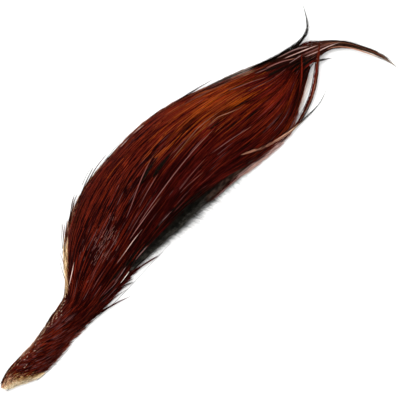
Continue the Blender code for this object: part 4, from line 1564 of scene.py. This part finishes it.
@dataclass
class FineLines(Layer):
    """Thin dark and light lines along the coat: edges and shafts of the hackles, with the near-black ones
    painted shade between the hackles and the greyish and short pale ones painted glints.
    """

    seed: int = 61
    count: int = 3500
    close_share: float = 0.36
    glints: int = 80
    neck_count: int = 1150
    bold: float = 2.4
    neck_tones: tuple = (Tone.GAP_SHADE, Tone.EMBER, Tone.GAP_SHADE, Tone.EMBER, Tone.GAP_SHADE, Tone.GREY_GLINT)

    def body_line(self, close: bool, draw: np.random.Generator, tones: ToneField) -> Feather:
        """Lay one long line of the body.

        Args:
            close: Whether it lies by the outer edge, where the hackles lie close.
            draw: The random source.
            tones: Source of its tone.

        Returns:
            The line.
        """
        x = draw.uniform(-92, 84)
        if close:
            x = draw.uniform(-74, 14)
        lane = draw.uniform(0.58 if close else 0.01, 0.985)
        path = LanePath(x, draw.uniform(14, 42), lane, drift=draw.normal(0, 0.008), bow=draw.normal(0, 0.3),
                        rise_power=9.0, lift=draw.uniform(0.1, 0.9))
        line, up = path.lay(self.coat)
        tone = tones.pick(*line[PATH_STEPS // 2, :2])
        width = draw.uniform(0.16, 0.38)
        if tone is Tone.GAP_SHADE and draw.uniform() < (0.40 if lane > 0.6 and x < 24 else 0.16):
            width *= self.bold
        return Feather(line, up, width, self.patterns.wisp, tone)

    def glint(self, draw: np.random.Generator) -> Feather:
        """Lay one short bright line over the shoulder.

        Args:
            draw: The random source.

        Returns:
            The line.
        """
        x = draw.normal(-53, 7)
        # One draw is passed over, so that the later ones keep their order
        draw.uniform(0.01, 0.985)
        lane = float(np.clip(draw.normal(0.61, 0.05), 0.1, 0.95))
        path = LanePath(x, draw.uniform(3, 8), lane, drift=draw.normal(0, 0.008), bow=draw.normal(0, 0.3),
                        rise_power=9.0, lift=0.8)
        line, up = path.lay(self.coat)
        return Feather(line, up, draw.uniform(0.12, 0.23), self.patterns.wisp, Tone.PALE_AND_GLINT)

    def neck_line(self, draw: np.random.Generator) -> Feather:
        """Lay one short line of the neck.

        Args:
            draw: The random source.

        Returns:
            The line.
        """
        x = draw.uniform(-140, -84)
        way = neck_way(x)
        length = (4 + 8 * way) * draw.uniform(0.7, 1.3)
        slant = draw.normal(-0.36, 0.08) * max(1 - way, 0.0) ** 0.5 * length / 13
        path = LanePath(x, length, draw.uniform(0.03, 0.97), drift=slant, rise_power=9.0,
                        lift=draw.uniform(0.2, 0.8))
        line, up = path.lay(self.coat)
        tone = self.neck_tones[int(draw.integers(6 if x < -100 else 5))]
        return Feather(line, up, draw.uniform(0.14, 0.32), self.patterns.wisp, tone)

    def lay(self, draw: np.random.Generator) -> list[Plumage]:
        """Lay the lines of the body, the glints, and the lines of the neck.

        Args:
            draw: The random source.

        Returns:
            The piece.
        """
        tones = ToneField(self.seed + 1, LINE_TONES, LINE_ZONES)
        bed = Plumage("fine_lines")
        for number in range(self.count):
            bed.add(self.body_line(number < self.close_share * self.count, draw, tones))
        for _ in range(self.glints):
            bed.add(self.glint(draw))
        for _ in range(self.neck_count):
            bed.add(self.neck_line(draw))
        return [bed]


@dataclass(frozen=True)
class Rim:
    """A stretch of the border: its ends, its lane, 0 or 1, and the count, reach and tones of its wisps."""

    first_x: float
    last_x: float
    lane: int
    count: int
    reach: float
    tones: dict[Tone, float]


RIMS = (
    Rim(-151, -130, 1, 150, 0.8, {Tone.SOOT: 0.50, Tone.CHESTNUT: 0.25, Tone.BRONZE: 0.15, Tone.FLESH: 0.10}),
    Rim(-136, -112, 1, 170, 1.3, {Tone.TAN: 0.50, Tone.BUFF: 0.25, Tone.SOOT: 0.25}),
    Rim(-118, -84, 1, 260, 0.9, {Tone.FLESH: 0.18, Tone.BUFF: 0.20, Tone.UMBER: 0.28, Tone.SOOT: 0.34}),
    Rim(-72, -46, 1, 240, 1.9, {Tone.UMBER: 0.30, Tone.BUFF: 0.26, Tone.TAN: 0.24, Tone.DARK: 0.20}),
    Rim(-52, -12, 1, 240, 1.3, {Tone.UMBER: 0.35, Tone.BUFF: 0.20, Tone.TAN: 0.10, Tone.DARK: 0.35}),
    Rim(-20, 50, 1, 420, 1.0, {Tone.UMBER: 0.35, Tone.BUFF: 0.25, Tone.ROSE_AND_GLINT: 0.20, Tone.SOOT: 0.20}),
    Rim(46, 68, 1, 140, 0.6, {Tone.BUFF: 0.45, Tone.TAN: 0.25, Tone.UMBER: 0.30}),
    # Painted grey sheen on the black wisps of the top edge
    Rim(60, 88, 1, 380, 1.1, {Tone.SMOKE: 0.80, Tone.BRONZE: 0.20}),
    Rim(76, 100, 1, 200, 0.8, {Tone.SOOT: 0.80, Tone.SMOKE: 0.20}),
    Rim(-132, -92, 0, 460, 3.0, {Tone.DARK: 0.25, Tone.UMBER: 0.20, Tone.ROSE_AND_GLINT: 0.30, Tone.PALE_AND_GLINT: 0.25}),
    Rim(-94, -44, 0, 420, 2.4, {Tone.DARK: 0.45, Tone.SOOT: 0.20, Tone.ROSE_AND_GLINT: 0.15, Tone.DUSK_AND_GLINT: 0.20}),
    Rim(14, 42, 0, 220, 1.2, {Tone.DARK: 0.45, Tone.UMBER: 0.35, Tone.HAIR: 0.20}),
    Rim(34, 76, 0, 360, 2.9, {Tone.HAIR: 0.40, Tone.BLUSH_AND_HIGHLIGHT: 0.60}),
    Rim(66, 88, 0, 120, 1.2, {Tone.DARK: 0.20, Tone.UMBER: 0.30, Tone.PALE_AND_GLINT: 0.30, Tone.HAIR: 0.20}),
)


@dataclass
class Wisps(Layer):
    """Thin tips and barbs that stand out past the borders and let the ground show between them."""

    seed: int = 65
    lengths: tuple = (5.0, 13.0)
    widths: tuple = (0.15, 0.40)

    def wisp(self, rim: Rim, tones: ToneField, draw: np.random.Generator) -> Feather:
        """Lay one wisp.

        Args:
            rim: The stretch of the border that it stands on.
            tones: Source of its tone.
            draw: The random source.

        Returns:
            The wisp.
        """
        out = 1.0 if rim.lane == 1 else -1.0
        run = np.linspace(0, 1, PATH_STEPS)
        length = draw.uniform(*self.lengths)
        x = draw.uniform(rim.first_x, rim.last_x - 0.7 * length) + length * run
        stand = out * (rim.reach * draw.uniform(0, 1) ** 1.4 * run ** 1.3
                       - draw.uniform(0.0, 1.2) * np.linspace(1, 0.3, PATH_STEPS))
        y = self.coat.lane_y(np.full(PATH_STEPS, float(rim.lane)), x) + stand + out * 0.5
        height = self.coat.top(x, y) * np.linspace(1.0, 0.8, PATH_STEPS) + draw.uniform(0.1, 0.5)
        return Feather(np.column_stack([x, y, height]), np.tile(UPWARDS, (PATH_STEPS, 1)),
                       draw.uniform(*self.widths), self.patterns.wisp,
                       tones.pick(float(x[0]), float(y[0])))

    def lay(self, draw: np.random.Generator) -> list[Plumage]:
        """Lay the wisps of every stretch.

        Args:
            draw: The random source.

        Returns:
            The piece.
        """
        bed = Plumage("border_wisps")
        for rim in RIMS:
            tones = ToneField(int(draw.integers(1000)), rim.tones)
            for _ in range(rim.count):
                bed.add(self.wisp(rim, tones, draw))
        return [bed]


@dataclass
class PaleEdges(Layer):
    """Pale feathers at the edges: cream ones up the flare and a straw fringe at the head."""

    seed: int = 71
    flare_count: int = 520
    flare_start: float = -87.0
    flare_run: float = 19.0
    flare_depths: tuple = ((0, 1.8), (0.25, 4.0), (0.6, 6.4), (1, 4.0))
    flare_reach: tuple = ((0, 0.2), (0.4, 1.0), (1, 2.4))
    flare_bands: tuple = ((1.4, (Tone.CREAM, Tone.FLAX, Tone.FLAX, Tone.HONEY, Tone.TAN, Tone.FLAX)),
                          (2.8, (Tone.FLAX, Tone.HONEY, Tone.TAN, Tone.UMBER, Tone.BUFF)),
                          (99.0, (Tone.UMBER, Tone.DARK, Tone.MAHOGANY)))
    fringe_count: int = 1400
    fringe_start: float = -151.2
    fringe_run: float = 21.4
    fringe_depths: tuple = ((-151.2, 0.8), (-149.6, 4.0), (-147, 5.2), (-143, 4.8), (-139, 4.2), (-135, 3.2),
                            (-132, 2.2), (-129.5, 1.0))
    fringe_line: tuple = ((-151.2, 3.4), (-149.6, 1.4), (-147, 0.4), (-144, -0.5), (-139, -2.8),
                          (-134, -5.2), (-129, -6.8))
    fringe_turns: tuple = ((-151, 38), (-147, 8), (-142, -24))

    def cream_feather(self, share: float, draw: np.random.Generator) -> Feather:
        """Lay one feather of the flare.

        Args:
            share: Its place along the flare, from 0 to 1.
            draw: The random source.

        Returns:
            The feather.
        """
        run = np.linspace(0, 1, PATH_STEPS)
        x = self.flare_start + self.flare_run * share + draw.uniform(-1, 1) + draw.uniform(4, 8) * run
        depth = table_at(share, self.flare_depths)
        inward = depth * draw.uniform(0, 1) - table_at(share, self.flare_reach)
        y = self.coat.lane_y(np.ones(PATH_STEPS), x) - inward * (1 - 0.45 * run) + 0.5 * run
        height = self.coat.top(x, y) + 1.4 - 0.6 * run
        far_in = inward / min(1.0, 0.1 + 4 * share) + draw.normal(0, 0.3)
        tones = next(tones for reach, tones in self.flare_bands if far_in < reach)
        return Feather(np.column_stack([x, y, height]), np.tile(UPWARDS, (PATH_STEPS, 1)),
                       draw.uniform(0.2, 0.5), self.patterns.wisp, tones[int(draw.integers(len(tones)))])

    def fringe_tone(self, x: float, inner: float, draw: np.random.Generator) -> Tone:
        """Choose the tone of a straw of the fringe.

        Args:
            x: Its place along the cape.
            inner: How far in it lies, as a share of the fringe's depth.
            draw: The random source.

        Returns:
            The tone.
        """
        pale = inner + draw.normal(0, 0.2)
        tone = Tone.CREAM if pale < 0.12 else Tone.FLAX if pale < 0.42 else Tone.HONEY
        if x < -142 and pale > 0.4:
            tone = Tone.FLESH
        if draw.uniform() < 1.2 * (inner - 0.4):
            tone = (Tone.CHESTNUT, Tone.RED_BROWN)[int(draw.integers(2))]
        return tone

    def straw(self, draw: np.random.Generator) -> Feather:
        """Lay one straw of the fringe.

        Args:
            draw: The random source.

        Returns:
            The straw.
        """
        run = np.linspace(0, 1, PATH_STEPS)
        share = draw.uniform(0, 1) ** 0.9
        x = self.fringe_start + self.fringe_run * share
        inner = draw.uniform(-0.26, 1)
        depth = table_at(x, self.fringe_depths)
        y = table_at(x, self.fringe_line) + depth * inner
        length = draw.uniform(2.0, 4.5)
        heading = table_at(x, self.fringe_turns)
        turn = math.radians(draw.normal(heading, 9))
        plan = np.column_stack([x + length * run * math.cos(turn),
                                y + length * run * math.sin(turn) * (1 - 0.35 * run)])
        height = self.coat.top(plan[:, 0], plan[:, 1]) + draw.uniform(0.4, 1.0) - 1.2 * run
        line = np.column_stack([plan, np.maximum(height, 0.3)])
        tone = self.fringe_tone(x, inner, draw)
        return Feather(line, np.tile(UPWARDS, (PATH_STEPS, 1)), draw.uniform(0.22, 0.5), self.patterns.wisp,
                       tone)

    def lay(self, draw: np.random.Generator) -> list[Plumage]:
        """Lay the flare's cream feathers and the head's straw fringe.

        Args:
            draw: The random source.

        Returns:
            One piece for each.
        """
        flare = Plumage("cream_flare")
        for number in range(self.flare_count):
            flare.add(self.cream_feather(number / (self.flare_count - 1), draw))
        fringe = Plumage("straw_fringe")
        for _ in range(self.fringe_count):
            fringe.add(self.straw(draw))
        return [flare, fringe]


@dataclass(frozen=True)
class ThreadBed:
    """One kind of thread at the cut edge: its count, stretch, heights, heading, widths and lengths."""

    name: str
    count: int
    stretch: tuple[float, float]
    heights: tuple[float, float]
    heading: float
    widths: tuple[float, float]
    lengths: tuple[float, float] = (0.8, 2.2)

    def along(self, draw: np.random.Generator) -> np.ndarray:
        """Draw where the threads are rooted along the cape."""
        return draw.uniform(*self.stretch, self.count)


BLACK_BED = ThreadBed("cut_edge_down", 12000, (-48, 44), (0.8, 1.0), -44.0, (0.12, 0.22))
FRINGE_BED = ThreadBed("down_fringe", 5200, (-50, 46), (0.3, 0.9), -46.0, (0.05, 0.11))
PALE_BED = ThreadBed("pale_down", 1500, (-48, 26), (1.0, 1.1), -46.0, (0.06, 0.13))
FUZZ_BED = ThreadBed("brown_fuzz", 2600, (12, 52), (0.8, 1.1), -12.0, (0.12, 0.22), (2.0, 6.0))
STRAY_HAIRS = (
    ((-92, -4.6), (-66, -6.2), (-44, -5.2), (-20, -4)), ((-150, 0.6), (-148, 0), (-146, -0.6)),
    ((-120, -5), (-116, -7.6), (-112, -9.8)), ((-122, -5), (-119, -8), (-116, -10)),
    ((-118, -5.6), (-112, -7), (-104, -7.4)), ((-60, -1), (-56, -3.2), (-52, -5.4)),
    ((-63, -1), (-58, -2.6), (-53, -4)), ((-133, -7.4), (-122, -8.2), (-108, -7.4)),
    ((-80, 23), (-76, 31), (-71, 39)), ((-68, 38), (-62, 45.4), (-56, 51)),
    ((-50, 50), (-44, 54.6), (-38, 57)), ((-34, 57), (-26, 60), (-17, 61.6)),
    ((-14, 58), (-2, 59.6), (8, 59.4)), ((76, -6), (92, -6.6), (104, -5), (111, -2)),
    ((128, 16), (137, 10), (143, 3)), ((140, 4), (146, -8), (149, -18)),
)


@dataclass
class Filaments:
    """Fine threads: the down along the cut edge, and stray hairs."""

    coat: Coat
    seed: int = 81
    stops: tuple = (-48, -40, -30, -20, -10, 8, 20, 44)
    edge: tuple = (1.8, 1.2, 0.6, 0.3, -0.2, 0.0, -0.4, -1.0)
    pale_edge: tuple = (1.2, 0.8, 0.2, -0.2, -0.6, -0.4, -0.8, -1.0)
    reach: tuple = (2.6, 2.8, 2.6, 3.8, 5.4, 6.0, 5.6, 5.2)
    depths: tuple = ((-48, 2), (-36, 4.5), (-20, 7), (15, 7), (26, 5), (44, 2.6))
    fuzz_depths: tuple = ((12, 1.0), (30, 0.9), (44, 0.4))
    fuzz_fall: tuple = ((30, 0), (44, 2.0))
    hair_places: int = 9
    hair_width: float = 0.30

    def threads(self, paths: np.ndarray, widths: np.ndarray) -> tuple[np.ndarray, np.ndarray]:
        """Turn paths into flat threads that come to a fine tip.

        Args:
            paths: One path for each thread, as an array of threads, places and coordinates.
            widths: Each thread's width in millimetres.

        Returns:
            Vertices and faces.
        """
        count, places, _ = paths.shape
        ahead = np.gradient(paths, axis=1)
        side = np.stack([-ahead[..., 1], ahead[..., 0], np.zeros((count, places))], axis=-1)
        side /= np.linalg.norm(side, axis=-1, keepdims=True)
        half = widths[:, None] / 2 * (1.0 - 0.75 * np.linspace(0, 1, places)[None, :])
        verts = np.stack([paths + side * half[..., None], paths - side * half[..., None]], axis=2)
        index = np.arange(count * places * 2).reshape(count, places, 2)
        faces = np.stack([index[:, :-1, 0], index[:, :-1, 1], index[:, 1:, 1], index[:, 1:, 0]], axis=-1)
        return verts.reshape(-1, 3), faces.reshape(-1, 4)

    def slanting(self, bed: ThreadBed, x: np.ndarray, y: np.ndarray, draw: np.random.Generator,
                 material: bpy.types.Material, length: np.ndarray | None = None) -> bpy.types.Object:
        """Make threads that slant down over the side of the coat to the table.

        Args:
            bed: The kind of thread.
            x: Where each is rooted along the cape.
            y: Where each is rooted across it.
            draw: The random source.
            material: Their finish.
            length: Length of each thread, or None to draw it.

        Returns:
            The object.
        """
        count = len(x)
        share = draw.uniform(*bed.heights, count)
        if length is None:
            length = draw.uniform(*bed.lengths, count)
        run = np.linspace(0, 1, 4)[None, :]
        turn = np.radians(draw.normal(bed.heading, 14, count))[:, None]
        angle = turn + draw.normal(0, 0.3, count)[:, None] * run
        reach = length[:, None] * run
        across, beside = x[:, None] + reach * np.cos(angle), y[:, None] + reach * np.sin(angle)
        surface = self.coat.top(across.ravel(), beside.ravel()).reshape(count, 4)
        height = surface * share[:, None] * (1 - 0.25 * run) + 0.25
        paths = np.stack([across, beside, height], axis=-1)
        return mesh_piece(bed.name, *self.threads(paths, draw.uniform(*bed.widths, count)), material)

    def down(self, dark: bpy.types.Material, pale: bpy.types.Material,
             brown: bpy.types.Material) -> list[bpy.types.Object]:
        """Make the down that shows along the cut edge.

        Args:
            dark: Finish of the black down and its thin fringe.
            pale: Finish of the grey threads at its lower edge.
            brown: Finish of the brown fuzz behind it.

        Returns:
            The down, its fringe, the grey threads and the fuzz.
        """
        draw = np.random.default_rng(self.seed)
        x = BLACK_BED.along(draw)
        depth = table_at(x, self.depths)
        y = np.interp(x, self.stops, self.edge) + draw.uniform(0, 1, len(x)) ** 0.75 * depth
        pieces = [self.slanting(BLACK_BED, x, y, draw, dark)]
        x = FRINGE_BED.along(draw)
        reach = np.interp(x, self.stops, self.reach)
        y = np.interp(x, self.stops, self.edge) + draw.uniform(-0.3, 1.0, len(x))
        length = (0.9 + np.minimum(draw.exponential(1.0, len(x)) * reach / 2.9, 1.15 * reach)) * 1.40
        pieces.append(self.slanting(FRINGE_BED, x, y, draw, dark, length))
        x = PALE_BED.along(draw)
        y = np.interp(x, self.stops, self.pale_edge) + 2.2 * draw.uniform(0, 1, len(x)) ** 2.2
        pieces.append(self.slanting(PALE_BED, x, y, draw, pale))
        x = FUZZ_BED.along(draw)
        depth = table_at(x, self.fuzz_depths)
        fall = table_at(x, self.fuzz_fall)
        y = draw.uniform(-1.6, 1.2, len(x)) * depth - fall
        pieces.append(self.slanting(FUZZ_BED, x, y, draw, brown))
        return pieces

    def hairs(self, material: bpy.types.Material) -> bpy.types.Object:
        """Make the long stray hairs around the cape.

        Args:
            material: Their finish.

        Returns:
            The object.
        """
        draw = np.random.default_rng(self.seed + 1)
        paths = []
        for points in STRAY_HAIRS:
            plan = even_line(smooth_line(points), self.hair_places)
            fall = np.linspace(0.9, 0.5, self.hair_places)
            z = self.coat.top(plan[:, 0], plan[:, 1]) * fall + draw.uniform(0.2, 0.5)
            paths.append(np.column_stack([plan, z]))
        widths = np.full(len(paths), self.hair_width)
        return mesh_piece("stray_hairs", *self.threads(np.array(paths), widths), material)


@dataclass
class DownBody:
    """The mass of down under the hackles, which keeps light from passing between them."""

    coat: Coat
    first_x: float = -143.0
    last_x: float = 112.0
    stations: int = 90
    across: int = 25
    share: float = 0.78
    sink: float = 0.4
    outer_lane: float = 0.965
    outer_gap: float = 0.8
    side_width: float = 2.0
    rims: tuple = ((-66, 0.55), (-56, 1.35), (28, 1.35), (36, 0.55))
    floor_height: float = 0.3
    cut_edge: tuple = ((-143, 0.2), (-134, -3.2), (-124, -3.7), (-105, -2.2), (-80, -1.4), (-64, -0.6),
                       (-55, -0.25), (-30, -0.4), (-5, -1.0), (18, -1.2), (26, -0.8), (40, -0.8), (60, -1.3),
                       (84, -0.4), (100, 6.8), (112, 13.2))

    def ring(self, x: float) -> np.ndarray:
        """Shape the mass at one station.

        Args:
            x: The station's place along the cape.

        Returns:
            Places around the mass, over the top from the cut edge and back below.
        """
        high = float(self.coat.lane_y(np.array([self.outer_lane]), np.array([x]))[0]) - self.outer_gap
        low = table_at(x, self.cut_edge)
        rim = table_at(x, self.rims)
        y = np.linspace(low, high, self.across)
        z = self.coat.top(np.full(self.across, x), y) * self.share - self.sink
        fall = np.minimum(1.0, np.minimum(y - low, high - y) / self.side_width)
        z = np.maximum(z * (0.35 + 0.65 * fall), rim)
        floor = np.array([[x, high, self.floor_height], [x, low, self.floor_height]])
        return np.vstack([np.column_stack([np.full(self.across, x), y, z]), floor])

    def build(self, material: bpy.types.Material) -> bpy.types.Object:
        """Loft the mass from rings along the cape.

        Args:
            material: Its finish.

        Returns:
            The object.
        """
        bm = bmesh.new()
        rings = []
        for x in np.linspace(self.first_x, self.last_x, self.stations):
            ring = [bm.verts.new(place) for place in to_frame(self.ring(x))]
            for one, two in zip(ring, ring[1:] + ring[:1]):
                bm.edges.new((one, two))
            rings.append(ring)
        bmesh.ops.bridge_loops(bm, edges=list(bm.edges))
        for ring in (rings[0], rings[-1]):
            bmesh.ops.contextual_create(bm, geom=ring)
        bmesh.ops.recalc_face_normals(bm, faces=list(bm.faces))
        return place_piece(mesh_of(bm, "down_body"), material)


@dataclass
class QuillBases:
    """Bare quill bases that show through the short feathers by the neck's outer edge."""

    coat: Coat
    seed: int = 91
    root_radius: float = 0.17
    tip_radius: float = 0.08
    lengths: tuple = (0.6, 1.2)
    lift: float = 0.7
    places: tuple = ((-108.6, 11.5), (-107, 12.0), (-104, 12.0), (-102, 11.3), (-100, 12.4), (-98.3, 11.1),
                     (-96.8, 12.7), (-95.3, 10.4), (-94.5, 13.0), (-92.5, 13.4), (-91.4, 15.0),
                     (-90.3, 13.8), (-88.4, 14.8), (-105.4, 10.6), (-99, 10.9), (-111, 11.0), (-86.6, 16.0),
                     (-131, 8.5), (-128, 8.6), (-129.4, 6.5), (-127, 6.6), (-121.4, 6.1), (-132.4, 3.2),
                     (-130.6, 3.4), (-124.6, 7.6), (-118.6, 8.2), (-115.4, 9.4), (-113.6, 8.8),
                     (-110.2, 9.9), (-106.2, 11.1), (-103.2, 10.4), (-126, 8.3), (-134.4, 7.2),
                     (-97.6, 12.0), (-93.8, 11.9), (-112.4, 10.3), (-101.2, 11.9))

    def build(self, material: bpy.types.Material) -> bpy.types.Object:
        """Set the quills and join them.

        Args:
            material: The quills' finish.

        Returns:
            The object.
        """
        draw = np.random.default_rng(self.seed)
        bm = bmesh.new()
        for x, y in self.places:
            z = float(self.coat.top(np.array([x]), np.array([y]))[0]) + self.lift
            made = bmesh.ops.create_cone(bm, cap_ends=True, segments=8, radius1=self.root_radius * MM,
                                         radius2=self.tip_radius * MM, depth=draw.uniform(*self.lengths) * MM)
            verts = made["verts"]
            turn = math.radians(draw.normal(-4, 18))
            tilt = math.radians(draw.uniform(70, 85))
            aim = Vector((math.cos(turn) * math.sin(tilt), math.sin(turn) * math.sin(tilt), math.cos(tilt)))
            bmesh.ops.rotate(bm, verts=verts, matrix=aim.to_track_quat("Z", "Y").to_matrix())
            bmesh.ops.translate(bm, verts=verts, vec=Vector((x, y - MIDLINE_Y, z)) * MM)
        return place_piece(mesh_of(bm, "quill_bases"), material)


@dataclass
class Studio:
    """White paper, soft light, and a long lens that looks straight down."""

    centre_x: float = 10.4
    centre_y: float = 2.3
    view_width: float = 236.0
    turn: float = 44.0
    distance: float = 1.8
    sensor: float = 36.0
    focus_height: float = 4.0
    far_end: float = 20.0
    paper_half: float = 3.0
    paper_drop: float = 0.0001
    lights: tuple = (("key", 3.0, 42.0, 80.0, 45.0), ("fill left", 0.95, 50.0, 190.0, 60.0),
                     ("fill right", 0.85, 50.0, -20.0, 60.0))
    room: float = 0.53

    def camera(self) -> None:
        """Set the camera over the cape, turned so that the cape lies along the photo's diagonal."""
        data = bpy.data.cameras.new("camera")
        data.sensor_width = self.sensor
        data.lens = self.sensor * self.distance / (self.view_width * MM)
        data.clip_end = self.far_end
        camera = bpy.data.objects.new("camera", data)
        camera.location = Vector((self.centre_x, self.centre_y - MIDLINE_Y, self.focus_height)) * MM
        camera.location.z += self.distance
        camera.rotation_euler = (0.0, 0.0, -math.radians(self.turn))
        bpy.context.collection.objects.link(camera)
        bpy.context.scene.camera = camera

    def paper(self) -> None:
        """Lay the paper."""
        bm = bmesh.new()
        bmesh.ops.create_grid(bm, x_segments=1, y_segments=1, size=self.paper_half)
        mesh = mesh_of(bm, "paper")
        mesh.materials.append(PaperFinish().material())
        floor = bpy.data.objects.new("paper", mesh)
        floor.location.z = -self.paper_drop
        bpy.context.collection.objects.link(floor)

    def light(self, name: str, strength: float, tilt: float, heading: float, spread: float) -> None:
        """Hang one soft light.

        Args:
            name: Its name.
            strength: Its strength.
            tilt: Degrees from straight above.
            heading: Degrees around from +X where the light comes from.
            spread: How wide the light looks, in degrees.
        """
        data = bpy.data.lights.new(name, "SUN")
        data.energy = strength
        data.angle = math.radians(spread)
        lamp = bpy.data.objects.new(name, data)
        lamp.rotation_euler = (math.radians(tilt), 0.0, math.radians(heading + 90.0))
        bpy.context.collection.objects.link(lamp)

    def build(self) -> None:
        """Set up camera, paper, lights and surroundings."""
        self.camera()
        self.paper()
        for light in self.lights:
            self.light(*light)
        scene = bpy.context.scene
        world = bpy.data.worlds.new("room")
        world.use_nodes = True
        background = world.node_tree.nodes["Background"]
        background.inputs["Color"].default_value = (1.0, 1.0, 1.0, 1.0)
        background.inputs["Strength"].default_value = self.room
        scene.world = world
        scene.view_settings.view_transform = "Standard"


def main() -> None:
    """Dress the cape."""
    logging.basicConfig(level=logging.INFO, format="%(message)s")
    Studio().build()
    coat = Coat()
    patterns = Patterns()
    hackle = HackleFinish().material()
    down = DownFinish("black down", (0.006, 0.006, 0.005), (0.020, 0.018, 0.013)).material()
    under = DownFinish("under down", (0.006, 0.002, 0.001), (0.012, 0.003, 0.002)).material()
    DownBody(coat).build(under)
    for layer in (HackleRows, NeckFeathers, UnderFeathers, SingleHackles, FineLines, Wisps, PaleEdges):
        layer(coat, patterns).build(hackle)
    threads = Filaments(coat)
    threads.down(down, DownFinish("grey down", (0.030, 0.026, 0.022), (0.090, 0.082, 0.070)).material(),
                 DownFinish("brown fuzz", (0.020, 0.011, 0.008), (0.075, 0.040, 0.027)).material())
    threads.hairs(down)
    QuillBases(coat).build(HornFinish().material())
    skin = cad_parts[SKIN_NODE]
    skin.data.materials.clear()
    skin.data.materials.append(SkinFinish().material())
    LOG.info("%s: %d faces", SKIN_NODE, len(skin.data.polygons))


if __name__ == "__main__":
    main()
